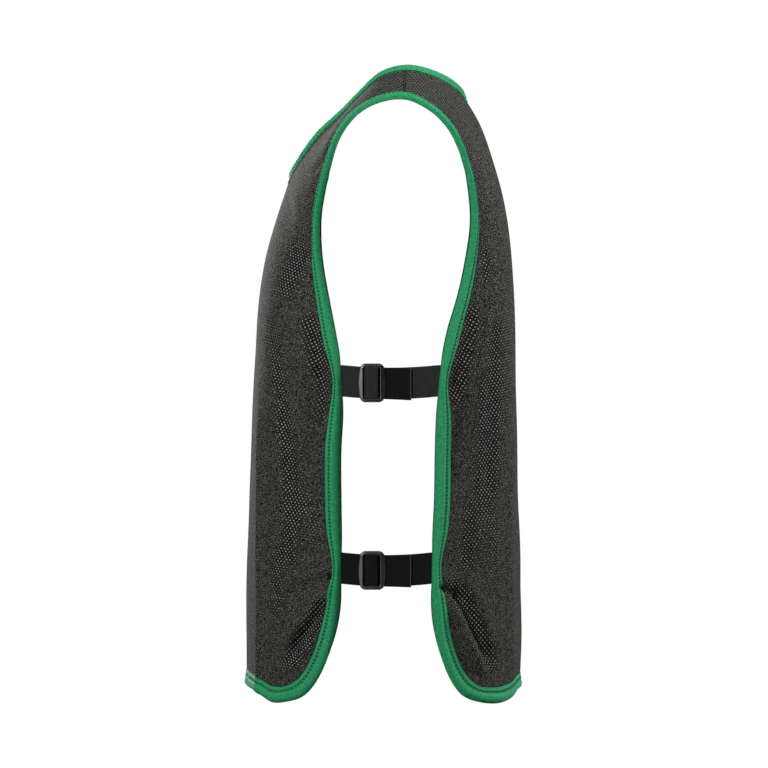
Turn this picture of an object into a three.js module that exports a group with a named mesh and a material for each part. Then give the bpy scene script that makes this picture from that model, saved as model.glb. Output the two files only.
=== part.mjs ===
// Training bib: a sleeveless over-vest of dark knitted mesh, open down both sides. A folded tape binds
// the neck and the whole outer edge, and two elastic straps with sliders join front and back on each side.
// Millimetres, +Z up. The wearer faces -Y and the wearer's left is +X.
// The origin lies on the mid-plane, at the height where the shoulder seams sit on the shoulders.
import * as THREE from 'three';

// Cloth and tape
const CLOTH = 1.0; // wall of the knitted mesh
const TAPE = 1.0; // wall of the binding tape
const GAP = 0.4; // clearance between sewn pieces
const EDGE_TAPE = 15; // folded width of the tape on sides and hem
const NECK_TAPE = 12; // folded width of the tape on the neck
const FOLD = TAPE + GAP; // how far the tape's fold stands beyond the cloth's edge

// Straps and sliders
const STRAP_WIDTH = 30;
const STRAP = 1.2; // thickness of the elastic
const LAYER_GAP = 0.3; // clearance between layers of elastic
const LAYER = STRAP + LAYER_GAP;
const SEAT_GAP = 0.75; // clearance between a strap's sewn end and the binding
const STRAP_TUCK = 14; // length of elastic sewn under the binding
const STRAP_SAG = 2.4; // how far the middle of a strap hangs below its ends
const SLIDER_Y = -31; // centre of each slider, front to back
const TAIL = 38; // free end of the front elastic, measured from the slider's centre
const RETURN = 26; // sewn end of the back elastic, measured from the slider's centre
const STRAP_LEVELS = { upper: -284, lower: -462 }; // height of each strap's ends

const SLIDER = {
  height: 37,
  thickness: 2.6,
  frontBar: 3.6,
  slot: 4.6,
  centreBar: 6.6,
  backBar: 4.6,
  frontSlotHeight: 31.6,
  backSlotHeight: 31.2,
  corner: 5.5, // radius of the outer corners
  bow: 0.8, // how far front and back bars bow outwards
  bevel: 0.5,
};

// Panels. Each row is one section across the left half of a panel, from the shoulder seam to the hem:
//   start   where it begins, on the neck edge or, below the neck, on the centre line
//   edge    where it ends, on the arm edge or the side
//   leave   direction and reach with which it leaves the start
//   arrive  direction and reach with which it comes to the edge
// From cornerRow down, the edges run on past the rounded corner that is cut there.
const FRONT = {
  facing: -1,
  neckRow: 7,
  cornerRow: 16,
  hemReach: 0.69, // share of the last section that is left as straight hem
  rows: [
    { start: [76, 0, 15.5], edge: [149, 0, -16], leave: [9, 0, -8], arrive: [13, 0, -10] },
    { start: [75, -22.5, 8.5], edge: [150, -27, -20.5], leave: [11, 1, -8], arrive: [14, 5, -10] },
    { start: [71, -43, -10.5], edge: [150, -48, -34], leave: [14, 3, -8], arrive: [16, 9, -10] },
    { start: [65, -59.5, -27.5], edge: [149, -63.5, -55], leave: [18, 4, -9], arrive: [18, 14, -9] },
    { start: [55, -80.5, -46.8], edge: [148, -72, -80], leave: [25, 4, -11], arrive: [20, 18, -9] },
    { start: [41, -95.7, -67.2], edge: [147, -77, -103], leave: [32, 2, -13], arrive: [21, 20, -8] },
    { start: [22, -105.7, -85.2], edge: [147, -79.5, -126], leave: [39, -1, -14], arrive: [21, 23, -8] },
    { start: [0, -108.5, -93], edge: [147, -79, -150], leave: [48, -3, -13], arrive: [22, 27, -7] },
    { start: [0, -121, -131], edge: [151, -76, -178], leave: [80, -3, -12], arrive: [23, 34, -7] },
    { start: [0, -132, -170], edge: [156, -71, -206], leave: [114, -1, -9], arrive: [24, 46, -6] },
    { start: [0, -138, -215], edge: [163, -65.5, -238], leave: [138, 0, -6], arrive: [25, 56, -4] },
    { start: [0, -141, -262], edge: [167, -61, -266], leave: [148, 0, 0], arrive: [24, 64, 0] },
    { start: [0, -143, -305], edge: [167, -59, -308], leave: [153, 0, 0], arrive: [24, 68, 0] },
    { start: [0, -145, -350], edge: [167, -61, -350], leave: [155, 0, 0], arrive: [24, 69, 0] },
    { start: [0, -146.5, -400], edge: [167, -61, -400], leave: [155, 0, 0], arrive: [24, 70, 0] },
    { start: [0, -148, -450], edge: [167, -60, -450], leave: [155, 0, 0], arrive: [24, 70, 0] },
    { start: [0, -149, -500], edge: [167, -61.5, -502], leave: [155, 0, 0], arrive: [24, 70, 0] },
    { start: [0, -149, -538], edge: [166, -65.5, -547], leave: [154, 0, 0], arrive: [23, 69, 0] },
    { start: [0, -148.3, -576], edge: [164, -70, -594.5], leave: [152, 0, 0], arrive: [22, 68, 0] },
  ],
};
const BACK = {
  facing: 1,
  neckRow: 5,
  cornerRow: 16,
  hemReach: 0.735,
  rows: [
    { start: [76, 0, 15.5], edge: [149, 0, -16], leave: [9, 0, -8], arrive: [13, 0, -10] },
    { start: [73, 21.5, 12.5], edge: [151, 24, -26.5], leave: [11, -2, -9], arrive: [14, -4, -11] },
    { start: [62, 41.2, 3.6], edge: [152, 42, -43], leave: [16, -4, -10], arrive: [16, -8, -12] },
    { start: [45, 51.7, -6.6], edge: [152, 53, -61], leave: [27, -1, -12], arrive: [18, -11, -11] },
    { start: [23, 55, -15], edge: [151.5, 58.5, -76], leave: [38, 2, -13], arrive: [20, -14, -10] },
    { start: [0, 55.5, -18], edge: [151, 62.5, -91], leave: [46, 5, -12], arrive: [21, -17, -10] },
    { start: [0, 73, -44], edge: [150, 64.5, -114], leave: [76, 5, -12], arrive: [22, -21, -9] },
    { start: [0, 85.5, -79], edge: [150, 63, -140], leave: [100, 4, -13], arrive: [23, -28, -9] },
    { start: [0, 94.5, -113], edge: [152, 57.5, -172], leave: [122, 2, -12], arrive: [24, -35, -8] },
    { start: [0, 100.5, -152], edge: [157, 50.5, -203], leave: [138, 1, -10], arrive: [24, -45, -6] },
    { start: [0, 103.8, -195], edge: [163, 42, -235], leave: [146, 0, -6], arrive: [25, -55, -4] },
    { start: [0, 105.2, -245], edge: [167, 36, -266], leave: [150, 0, -2], arrive: [24, -63, 0] },
    { start: [0, 106, -297], edge: [167, 32.5, -305], leave: [153, 0, 0], arrive: [24, -67, 0] },
    { start: [0, 107, -350], edge: [167, 31, -350], leave: [155, 0, 0], arrive: [24, -68, 0] },
    { start: [0, 108.2, -400], edge: [167, 30, -400], leave: [155, 0, 0], arrive: [24, -68, 0] },
    { start: [0, 109.5, -450], edge: [167, 27.5, -450], leave: [155, 0, 0], arrive: [24, -68, 0] },
    { start: [0, 110.3, -500], edge: [167, 27, -502], leave: [155, 0, 0], arrive: [24, -68, 0] },
    { start: [0, 110.3, -538], edge: [166, 29.5, -547], leave: [154, 0, 0], arrive: [23, -67, 0] },
    { start: [0, 109, -579.5], edge: [164, 34, -594], leave: [152, 0, 0], arrive: [22, -66, 0] },
  ],
};
const COLUMNS = 6; // cells across half a panel, between its bound edges
const CORNER_STEPS = 6; // sections through the rounded corner

const UP = new THREE.Vector3(0, 0, 1);
const vector = (p) => new THREE.Vector3(...p);
const mirrored = (p) => new THREE.Vector3(-p.x, p.y, p.z);
const through = (points, closed = false) => new THREE.CatmullRomCurve3(points, closed, 'catmullrom', 0.5);
const lastOf = (list) => list[list.length - 1];

// The neck edge is one loop over both panels: centre back, left shoulder, centre front and back again.
function neckLoop() {
  const front = FRONT.rows.slice(0, FRONT.neckRow + 1).map((row) => vector(row.start));
  const back = BACK.rows.slice(1, BACK.neckRow + 1).map((row) => vector(row.start));
  const left = [...back.reverse(), ...front];
  const right = left.slice(1, -1).reverse().map(mirrored);
  return through([...left, ...right], true);
}

// The left outer edge is one line from the back's hem, over the shoulder, to the front's hem.
function outerEdge() {
  const front = FRONT.rows.map((row) => vector(row.edge));
  const back = BACK.rows.slice(1).map((row) => vector(row.edge));
  return through([...back.reverse(), ...front]);
}

const neck = neckLoop();
const outer = outerEdge();

// Adds to a panel the function that gives its section, a Bezier curve, at any level between two rows.
function withSections(panel) {
  const last = panel.rows.length - 1;
  const centre = through(panel.rows.slice(panel.neckRow).map((row) => vector(row.start)));
  const leave = through(panel.rows.map((row) => vector(row.leave)));
  const arrive = through(panel.rows.map((row) => vector(row.arrive)));
  const startAt = (level) => {
    if (level > panel.neckRow) return centre.getPoint((level - panel.neckRow) / (last - panel.neckRow));
    return neck.getPoint((BACK.neckRow - panel.facing * level) / neck.points.length);
  };
  const edgeAt = (level) =>
    outer.getPoint((BACK.rows.length - 1 - panel.facing * level) / (outer.points.length - 1));
  const sectionAt = (level) => {
    const start = startAt(level);
    const edge = edgeAt(level);
    const first = start.clone().add(leave.getPoint(level / last));
    const second = edge.clone().sub(arrive.getPoint(level / last));
    return new THREE.CubicBezierCurve3(start, first, second, edge);
  };
  return { ...panel, last, edgeAt, sectionAt };
}

// Places along the left edge of a panel, from the shoulder seam round the corner to the hem's middle.
function outerPlaces(panel) {
  const places = rowLevels(panel).map((level) => ({ level, share: 1 }));
  for (let step = 1; step <= CORNER_STEPS; step += 1) {
    const turn = (step / CORNER_STEPS) * (Math.PI / 2);
    const level = panel.cornerRow + (panel.last - panel.cornerRow) * Math.sin(turn);
    places.push({ level, share: 1 - (1 - panel.hemReach) * (1 - Math.cos(turn)) });
  }
  for (let column = COLUMNS - 1; column >= 0; column -= 1) {
    places.push({ level: panel.last, share: (panel.hemReach * column) / COLUMNS });
  }
  return places;
}

// Rows lie close together beside the neck and further apart below it.
function rowLevels(panel) {
  const levels = [];
  for (let level = 0; level < panel.neckRow; level += 0.5) levels.push(level);
  for (let level = panel.neckRow; level <= panel.cornerRow; level += 1) levels.push(level);
  return levels;
}

const pointAt = (panel, { level, share }) => panel.sectionAt(level).getPoint(share);

// The two slopes of a panel's surface at a place: down through the rows, and across along the section.
function slopesAt(panel, { level, share }) {
  const step = 0.02;
  const upper = Math.min(level, panel.last - step);
  const down = pointAt(panel, { level: upper + step, share }).sub(pointAt(panel, { level: upper, share }));
  const across = pointAt(panel, { level, share: share + step }).sub(pointAt(panel, { level, share }));
  return { down: down.divideScalar(step), across: across.divideScalar(step) };
}

// The place that is reached by going a given distance over a panel's surface in a given direction.
function moved(panel, place, direction, distance) {
  const steps = 6;
  let { level, share } = place;
  for (let i = 0; i < steps; i += 1) {
    const { down, across } = slopesAt(panel, { level, share });
    const [a, b, c] = [down.dot(down), down.dot(across), across.dot(across)];
    const [p, q] = [down, across].map((slope) => (slope.dot(direction) * distance) / steps);
    level = THREE.MathUtils.clamp(level + (p * c - q * b) / (a * c - b * b), 0, panel.last);
    share += (q * a - p * b) / (a * c - b * b);
  }
  return { level, share };
}

// Three places at each place of an edge: the edge itself, and half and all of the tape's width into the cloth.
// The way in is square to the edge. It is +1 for an edge that ends the sections and -1 for one that starts them.
function bandAlong(panel, places, width, ends) {
  const points = places.map((place) => pointAt(panel, place));
  return places.map((place, i) => {
    const along = points[Math.min(i + 1, points.length - 1)].clone().sub(points[Math.max(i - 1, 0)]);
    if (i === 0) along.set(0, 1, 0);
    if (i === points.length - 1) along.set(1, 0, 0);
    const { down, across } = slopesAt(panel, place);
    const inside = down.clone().normalize().add(across.clone().normalize()).multiplyScalar(-ends);
    const inwards = along.cross(down.cross(across)).normalize();
    if (inwards.dot(inside) < 0) inwards.negate();
    return [0, width / 2, width].map((distance) => moved(panel, place, inwards, distance));
  });
}

// Middle surface of a panel: points, outward normals and triangles. Its edges are bands that lie under the
// tape, each a list of places with the points at the edge, half-way in and at the tape's inner edge.
function panelSurface(panel) {
  const points = [];
  const twins = new Map();
  const triangles = [];
  const addPoint = (place) => {
    const point = pointAt(panel, place);
    if (place.atSeam) point.setY((panel.facing * GAP) / 2);
    points.push(point);
    const index = points.length - 1;
    if (Math.abs(point.x) < 1e-6) twins.set(index, index);
    else twins.set(index, points.push(mirrored(point)) - 1);
    return index;
  };
  const addBand = (band) => band.map((row, i) => row.map((place) => addPoint({ ...place, atSeam: i === 0 })));

  const neckPlaces = rowLevels(panel).filter((level) => level <= panel.neckRow).map((level) => ({ level, share: 0 }));
  const neckBand = bandAlong(panel, neckPlaces, NECK_TAPE, -1);
  const outerBand = bandAlong(panel, outerPlaces(panel), EDGE_TAPE, 1);
  const neckLeft = addBand(neckBand);
  const outerLeft = addBand(outerBand);

  // Rows between the two bands, or between the centre line and the outer band
  const rowCount = outerBand.length - COLUMNS;
  const hemStart = lastOf(outerBand)[2].level;
  const startOf = (row) => {
    if (row < neckBand.length) return neckBand[row][2];
    const { level } = outerBand[row][0];
    const below = Math.max(0, (level - panel.cornerRow) / (panel.last - panel.cornerRow));
    return { level: below > 0 ? panel.cornerRow + below * (hemStart - panel.cornerRow) : level, share: 0 };
  };
  const rows = [];
  for (let r = 0; r < rowCount - 1; r += 1) {
    const [start, end] = [startOf(r), outerBand[r][2]];
    const row = [r < neckBand.length ? neckLeft[r][2] : addPoint(start)];
    for (let column = 1; column < COLUMNS; column += 1) {
      const t = column / COLUMNS;
      const level = THREE.MathUtils.lerp(start.level, end.level, t);
      row.push(addPoint({ level, share: THREE.MathUtils.lerp(start.share, end.share, t), atSeam: r === 0 }));
    }
    rows.push([...row, outerLeft[r][2]]);
  }
  rows.push(outerLeft.slice(rowCount - 1).map((place) => place[2]).reverse());

  const addTriangle = (a, b, c, flip) => triangles.push(flip ? [a, c, b] : [a, b, c]);
  for (let r = 0; r + 1 < rows.length; r += 1) {
    for (let i = 0; i < COLUMNS; i += 1) {
      const corners = [rows[r][i], rows[r + 1][i], rows[r][i + 1], rows[r + 1][i + 1]];
      for (const [a, b, c, d] of [corners, corners.map((index) => twins.get(index))]) {
        const flip = (a === corners[0] && c === corners[2]) !== panel.facing < 0;
        addTriangle(a, b, c, flip);
        addTriangle(c, b, d, flip);
      }
    }
  }
  const wholeLoop = (left) => [...left, ...left.slice(0, -1).reverse().map((row) => row.map((i) => twins.get(i)))];
  const bands = { outline: wholeLoop(outerLeft), neckline: wholeLoop(neckLeft) };
  if (panel.facing > 0) bands.neckline.reverse();
  for (const [band, flip] of [[bands.outline, panel.facing > 0], [bands.neckline, true]]) {
    for (let i = 0; i + 1 < band.length; i += 1) {
      for (const j of [0, 1]) {
        addTriangle(band[i][j], band[i][j + 1], band[i + 1][j + 1], flip);
        addTriangle(band[i][j], band[i + 1][j + 1], band[i + 1][j], flip);
      }
    }
  }
  return { points, triangles, normals: normalsOf(points, triangles), ...bands };
}

function normalsOf(points, triangles) {
  const normals = points.map(() => new THREE.Vector3());
  for (const corners of triangles) {
    const [a, b, c] = corners.map((i) => points[i]);
    const normal = b.clone().sub(a).cross(c.clone().sub(a));
    corners.forEach((i) => normals[i].add(normal));
  }
  return normals.map((normal) => normal.normalize());
}

// A closed geometry from points and triangles, with its faces turned outwards.
function closedGeometry(points, triangles) {
  let volume = 0;
  for (const [a, b, c] of triangles) volume += points[a].dot(points[b].clone().cross(points[c]));
  const turned = volume > 0 ? triangles : triangles.map(([a, b, c]) => [a, c, b]);
  return new THREE.BufferGeometry().setFromPoints(points).setIndex(turned.flat());
}

// A cloth wall: the surface is copied to both sides and closed along its free edges.
function clothWall({ points, normals, triangles }, thickness) {
  const count = points.length;
  const outside = points.map((point, i) => point.clone().addScaledVector(normals[i], thickness / 2));
  const inside = points.map((point, i) => point.clone().addScaledVector(normals[i], -thickness / 2));
  const faces = triangles.flatMap(([a, b, c]) => [[a, b, c], [a + count, c + count, b + count]]);
  const edges = new Set(triangles.flatMap(([a, b, c]) => [`${a},${b}`, `${b},${c}`, `${c},${a}`]));
  for (const edge of edges) {
    const [a, b] = edge.split(',').map(Number);
    if (!edges.has(`${b},${a}`)) faces.push([b, a, a + count], [b, a + count, b + count]);
  }
  return closedGeometry([...outside, ...inside], faces);
}

// The folded tape's section at one place: its outside from tip to tip round the fold, then its inside.
function tapeSection({ points, normals }, [edge, middle, tip]) {
  const beyond = points[edge].clone().sub(points[middle]).normalize();
  const half = CLOTH / 2 + GAP;
  const from = (index, depth, out) =>
    points[index].clone().addScaledVector(normals[index], depth).addScaledVector(beyond, out);
  const wrap = (depth, out) => [
    from(tip, depth, 0),
    from(middle, depth, 0),
    from(edge, depth, out * 0.3),
    from(edge, 0, out),
    from(edge, -depth, out * 0.3),
    from(middle, -depth, 0),
    from(tip, -depth, 0),
  ];
  return [...wrap(half + TAPE, FOLD), ...wrap(half, GAP).reverse()];
}

// A tape swept through its sections. A closed one joins up, and an open one gets two flat ends.
// Its facets are split the same way as those of the cloth that it covers.
function sweptTape(sections, closed) {
  const size = sections[0].length;
  const triangles = [];
  const steps = closed ? sections.length : sections.length - 1;
  for (let s = 0; s < steps; s += 1) {
    const here = s * size;
    const next = ((s + 1) % sections.length) * size;
    for (let i = 0; i < size; i += 1) {
      const j = (i + 1) % size;
      const pastFold = i % (size / 2) > 2;
      if (pastFold) triangles.push([here + i, here + j, next + j], [here + i, next + j, next + i]);
      else triangles.push([here + i, here + j, next + i], [here + j, next + j, next + i]);
    }
  }
  if (!closed) {
    const end = (sections.length - 1) * size;
    for (let i = 0; i + 1 < size / 2; i += 1) {
      const [a, b, c, d] = [i, i + 1, size - 2 - i, size - 1 - i];
      triangles.push([a, d, b], [b, d, c], [end + a, end + b, end + d], [end + b, end + c, end + d]);
    }
  }
  return closedGeometry(sections.flat(), triangles);
}

// The ends of a tape are cut back from the shoulder seam by half a gap.
function cutAtSeams(sections, facing) {
  for (const section of [sections[0], lastOf(sections)]) {
    section.forEach((point) => point.setY((facing * GAP) / 2));
  }
  return sections;
}

// Straps

// Plan-view points on the inside of a panel's bound edge, from the edge inwards, where a strap is sewn.
function strapSeat(panel, height) {
  let low = panel.neckRow;
  let high = panel.cornerRow;
  while (high - low > 1e-4) {
    const middle = (low + high) / 2;
    if (panel.edgeAt(middle).z > height) low = middle;
    else high = middle;
  }
  const section = panel.sectionAt(low);
  const inset = CLOTH / 2 + GAP + TAPE + SEAT_GAP + STRAP / 2;
  const length = section.getLength();
  return [0, 0.5, 1].map((share) => {
    const place = 1 - (share * STRAP_TUCK) / length;
    const tangent = section.getTangentAt(place).setZ(0).normalize();
    const outwards = new THREE.Vector3(tangent.y, -tangent.x, 0).multiplyScalar(-panel.facing);
    return section.getPointAt(place).setZ(0).addScaledVector(outwards, -inset);
  });
}

// The line that a pair of elastics follows from front to back in plan view, measured from the slider.
function strapLine(height) {
  const front = strapSeat(frontPanel, height);
  const back = strapSeat(backPanel, height);
  const reach = front[0].distanceTo(back[0]) / 3;
  const lead = (seat) => seat[0].clone().sub(seat[1]).normalize().multiplyScalar(reach).add(seat[0]);
  const span = new THREE.CubicBezierCurve3(front[0], lead(front), lead(back), back[0]);
  const middle = [0.2, 0.4, 0.6, 0.8].map((share) => span.getPoint(share));
  const line = new THREE.CatmullRomCurve3([...front.reverse(), ...middle, ...back], false, 'centripetal');
  const length = line.getLength();
  const steps = line.getSpacedPoints(200);
  const zero = (steps.findIndex((point) => point.y > SLIDER_Y) / 200) * length;
  const frameAt = (distance) => {
    const place = THREE.MathUtils.clamp((zero + distance) / length, 0, 1);
    const along = line.getTangentAt(place).normalize();
    return { point: line.getPointAt(place), along, outwards: new THREE.Vector3(along.y, -along.x, 0) };
  };
  const sagAt = (y) => {
    const [from, to] = [lastOf(front).y, back[0].y];
    const share = THREE.MathUtils.clamp((y - from) / (to - from), 0, 1);
    return -STRAP_SAG * 4 * share * (1 - share);
  };
  return { frameAt, sagAt, frontEnd: -zero, backEnd: length - zero };
}

// A band of elastic: its edge-on outline in plan view, extruded to the strap's width.
// The path gives places along the strap's line and distances outwards from it.
function elasticBand(path, line, height) {
  const points = path.map(([distance, out]) => {
    const { point, outwards } = line.frameAt(distance);
    return point.addScaledVector(outwards, out);
  });
  const offset = (side) =>
    points.map((point, i) => {
      const before = points[Math.max(i - 1, 0)];
      const after = points[Math.min(i + 1, points.length - 1)];
      const arriving = point.clone().sub(before).normalize();
      const leaving = after.clone().sub(point).normalize();
      const mitre = arriving.add(leaving).normalize();
      const spread = i > 0 && i < points.length - 1 ? mitre.dot(leaving) : 1;
      return new THREE.Vector2(point.x + (side * mitre.y) / spread, point.y - (side * mitre.x) / spread);
    });
  const outline = [...offset(STRAP / 2), ...offset(-STRAP / 2).reverse()];
  const band = new THREE.ExtrudeGeometry(new THREE.Shape(outline), { depth: STRAP_WIDTH, bevelEnabled: false });
  return sagged(band.translate(0, 0, height - STRAP_WIDTH / 2), line);
}

function sagged(geometry, line) {
  const places = geometry.attributes.position;
  for (let i = 0; i < places.count; i += 1) places.setZ(i, places.getZ(i) + line.sagAt(places.getY(i)));
  return geometry;
}

// Heights of the layers above the back elastic's own line, and where they turn round the slider's bars.
const UNDER = 2 * LAYER; // front elastic, under the slider's bars
const BAR_BOTTOM = UNDER + STRAP / 2 + LAYER_GAP;
const LOOP_OVER = BAR_BOTTOM + SLIDER.thickness + LAYER_GAP + STRAP / 2; // back elastic, over the centre bar
const FRONT_OVER = LOOP_OVER + LAYER; // front elastic, over that loop
const LOOP_TURN = SLIDER.centreBar / 2 + LAYER_GAP + STRAP / 2;
const FRONT_TURN = LOOP_TURN + LAYER;
const TURN = 1.1; // chamfer of a turn

// The back elastic comes forward under the slider, loops round its centre bar and is sewn to itself.
function backElasticPath(line) {
  return [
    [line.backEnd, 0],
    [line.backEnd - STRAP_TUCK / 2, 0],
    [line.backEnd - STRAP_TUCK, 0],
    [line.backEnd - STRAP_TUCK - 16, 0],
    [RETURN, 0],
    [SLIDER.centreBar, 0],
    [TURN - LOOP_TURN, 0],
    [-LOOP_TURN, TURN],
    [-LOOP_TURN, LOOP_OVER - TURN],
    [TURN - LOOP_TURN, LOOP_OVER],
    [LOOP_TURN - TURN, LOOP_OVER],
    [LOOP_TURN, LOOP_OVER - TURN],
    [LOOP_TURN, LAYER + TURN],
    [LOOP_TURN + TURN, LAYER],
    [RETURN, LAYER],
  ];
}

// The front elastic goes under the front bar, over the centre bar and under the back bar, and ends free.
function frontElasticPath(line) {
  const edge = line.frontEnd + STRAP_TUCK;
  return [
    [line.frontEnd, 0],
    [line.frontEnd + STRAP_TUCK / 2, 0],
    [edge, 0],
    [edge + 6, UNDER * 0.4],
    [-SLIDER.centreBar / 2 - SLIDER.slot - SLIDER.frontBar - 1, UNDER],
    [-FRONT_TURN - TURN, UNDER],
    [-FRONT_TURN, UNDER + TURN],
    [-FRONT_TURN, FRONT_OVER - TURN],
    [TURN - FRONT_TURN, FRONT_OVER],
    [FRONT_TURN - TURN, FRONT_OVER],
    [FRONT_TURN, FRONT_OVER - TURN],
    [FRONT_TURN, UNDER + TURN],
    [FRONT_TURN + TURN, UNDER],
    [RETURN, UNDER],
    [TAIL, UNDER],
  ];
}

// The slider's outline: rounded corners, and front and back bars that bow outwards a little.
function sliderGeometry() {
  const { frontBar, slot, centreBar, backBar, corner, bow, bevel, height, thickness } = SLIDER;
  const front = -centreBar / 2 - slot - frontBar + bevel;
  const back = centreBar / 2 + slot + backBar - bevel;
  const top = height / 2 - bevel;
  const outline = new THREE.Shape()
    .moveTo(front + corner, -top)
    .lineTo(back - corner, -top)
    .quadraticCurveTo(back, -top, back, corner - top)
    .quadraticCurveTo(back + 2 * bow, 0, back, top - corner)
    .quadraticCurveTo(back, top, back - corner, top)
    .lineTo(front + corner, top)
    .quadraticCurveTo(front, top, front, top - corner)
    .quadraticCurveTo(front - 2 * bow, 0, front, corner - top)
    .quadraticCurveTo(front, -top, front + corner, -top);
  for (const [side, slotHeight] of [[-1, SLIDER.frontSlotHeight], [1, SLIDER.backSlotHeight]]) {
    const near = side * (centreBar / 2 - bevel);
    const far = side * (centreBar / 2 + slot + bevel);
    const end = slotHeight / 2 + bevel;
    const corners = [[near, -end], [far, -end], [far, end], [near, end]];
    outline.holes.push(new THREE.Path(corners.map(([x, y]) => new THREE.Vector2(x, y))));
  }
  const body = { depth: thickness - 2 * bevel, curveSegments: 3, bevelSegments: 1 };
  const edge = { bevelEnabled: true, bevelThickness: bevel, bevelSize: bevel };
  return new THREE.ExtrudeGeometry(outline, { ...body, ...edge }).translate(0, 0, bevel);
}

function sliderMesh(name, line, height) {
  const { point, along, outwards } = line.frameAt(0);
  const mesh = new THREE.Mesh(sliderGeometry(), sliderPlastic);
  mesh.name = name;
  mesh.setRotationFromMatrix(new THREE.Matrix4().makeBasis(along, UP, outwards));
  mesh.position.copy(point).addScaledVector(outwards, BAR_BOTTOM);
  mesh.position.z = height + line.sagAt(point.y);
  return mesh;
}

// Both straps of one side of the body, built on the left.
function sideStraps(side) {
  const group = new THREE.Group();
  for (const [level, height] of Object.entries(STRAP_LEVELS)) {
    const line = strapLine(height);
    group.add(
      named(`${side}_${level}_front_strap`, elasticBand(frontElasticPath(line), line, height), elastic),
      named(`${side}_${level}_back_strap`, elasticBand(backElasticPath(line), line, height), elastic),
      sliderMesh(`${side}_${level}_slider`, line, height),
    );
  }
  return group;
}

// Materials
const meshKnit = new THREE.MeshStandardMaterial({ color: '#454542', roughness: 0.9, metalness: 0 });
const greenTape = new THREE.MeshStandardMaterial({ color: '#2a8a5d', roughness: 0.8, metalness: 0 });
const elastic = new THREE.MeshStandardMaterial({ color: '#1d1d1c', roughness: 0.8, metalness: 0 });
const sliderPlastic = new THREE.MeshStandardMaterial({ color: '#2c2c2c', roughness: 0.45, metalness: 0 });

function named(name, geometry, material) {
  const mesh = new THREE.Mesh(geometry, material);
  mesh.name = name;
  return mesh;
}

// Assembly
const frontPanel = withSections(FRONT);
const backPanel = withSections(BACK);
const frontSurface = panelSurface(frontPanel);
const backSurface = panelSurface(backPanel);

const tapeOver = (surface, band) => band.map((place) => tapeSection(surface, place));
const frontEdge = cutAtSeams(tapeOver(frontSurface, frontSurface.outline), FRONT.facing);
const backEdge = cutAtSeams(tapeOver(backSurface, backSurface.outline), BACK.facing);
const neckFront = tapeOver(frontSurface, frontSurface.neckline);
const neckBack = tapeOver(backSurface, backSurface.neckline);

const bib = new THREE.Group();
bib.name = 'training_bib';
bib.add(
  named('front_panel', clothWall(frontSurface, CLOTH), meshKnit),
  named('back_panel', clothWall(backSurface, CLOTH), meshKnit),
  named('front_binding', sweptTape(frontEdge, false), greenTape),
  named('back_binding', sweptTape(backEdge, false), greenTape),
  named('neck_binding', sweptTape([...neckFront, ...neckBack], true), greenTape),
);
const rightStraps = sideStraps('right');
rightStraps.scale.x = -1;
bib.add(sideStraps('left'), rightStraps);

export default bib;
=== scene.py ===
import math

import bpy
import numpy as np
from mathutils import Matrix, Vector


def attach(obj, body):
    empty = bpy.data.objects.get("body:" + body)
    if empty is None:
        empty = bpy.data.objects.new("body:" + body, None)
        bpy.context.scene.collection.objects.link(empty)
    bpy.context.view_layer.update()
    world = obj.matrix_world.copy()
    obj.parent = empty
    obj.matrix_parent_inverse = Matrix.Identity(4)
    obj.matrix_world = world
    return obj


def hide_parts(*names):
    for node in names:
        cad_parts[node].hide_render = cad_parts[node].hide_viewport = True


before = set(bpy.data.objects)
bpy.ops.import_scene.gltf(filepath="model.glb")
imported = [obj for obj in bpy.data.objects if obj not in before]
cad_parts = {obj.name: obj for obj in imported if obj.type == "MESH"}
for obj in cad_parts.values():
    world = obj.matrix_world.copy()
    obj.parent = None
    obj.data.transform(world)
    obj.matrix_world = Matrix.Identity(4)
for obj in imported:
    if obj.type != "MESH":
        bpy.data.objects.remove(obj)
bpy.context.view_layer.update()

# The looks of a mesh training bib: knitted panels, folded binding tape, elastic side straps and sliders.
# Sizes are in millimetres and become metres where a mesh is made. +Z is up, the wearer faces -Y.
MM = 0.001

# Cloth and tape
CLOTH = 0.8  # wall of the knitted mesh
EYELETS_AT_REST = 0.34  # how far the knit's eyelets stand open where nothing stretches it
EYELETS_SHUT = {"above": 20, "over": 60}  # they are shut on the shoulder, and open over a height below it
TAPE_INSIDE = 0.45  # from the middle of the cloth to the tape's inner face
# Folded width of the edge tape at heights from the shoulder down, less where it rolls away beside the arm
EDGE_TAPE = [(-16, 12.5), (-60, 6.2), (-103, 7.8), (-126, 9.0), (-145, 11), (-167, 13), (-280, 14.5)]
TAPE_LAP = {"y": -3, "half": 6, "above": -60, "swell": 2.0}  # where the two edge tapes meet on the shoulder
HEM_PRESS = {"below": 520, "over": 50, "half": 110, "by": 0.35}  # the edge tape lies flatter along the hem
EDGE_SHADOW_LINE = {"beyond": 0.45, "over": 0.5}  # a line of black thread beside the edge tape, painted shadow of its edge: from its tip and the cloth's middle
NECK_TAPE = 11.5  # its folded width
NECK_TAPE_BACK = {"less": 5, "half": 40}  # it rolls away at the middle of the back
NECK_FULLNESS = 0.75  # how far the neck tape stands up, against the edge tape
NECK_POINT = {"half": 30, "gain": 1.6, "before": -40}  # where the neck tape is smoothed, at the front
NECK_EASE = 40  # passes that smooth it
STITCH_LIFT = 0.12  # from the tape's face to the middle of its stitches
SHOULDER_SEAM = {"from": 0.13, "to": 0.86, "lean": 0.12, "lift": 0.35}  # shares of the shoulder, rows, mm

# Spacing of the meshes, and samples of lines that are then spaced evenly
ROW_STEP = 2.6
COLUMNS = 84  # cells across half a panel
CORNER_ROWS = 40
TAPE_STEP = 2.0
ELASTIC_STEP = 0.9
FINE = 400
SEAM_SAMPLES = 60

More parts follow.
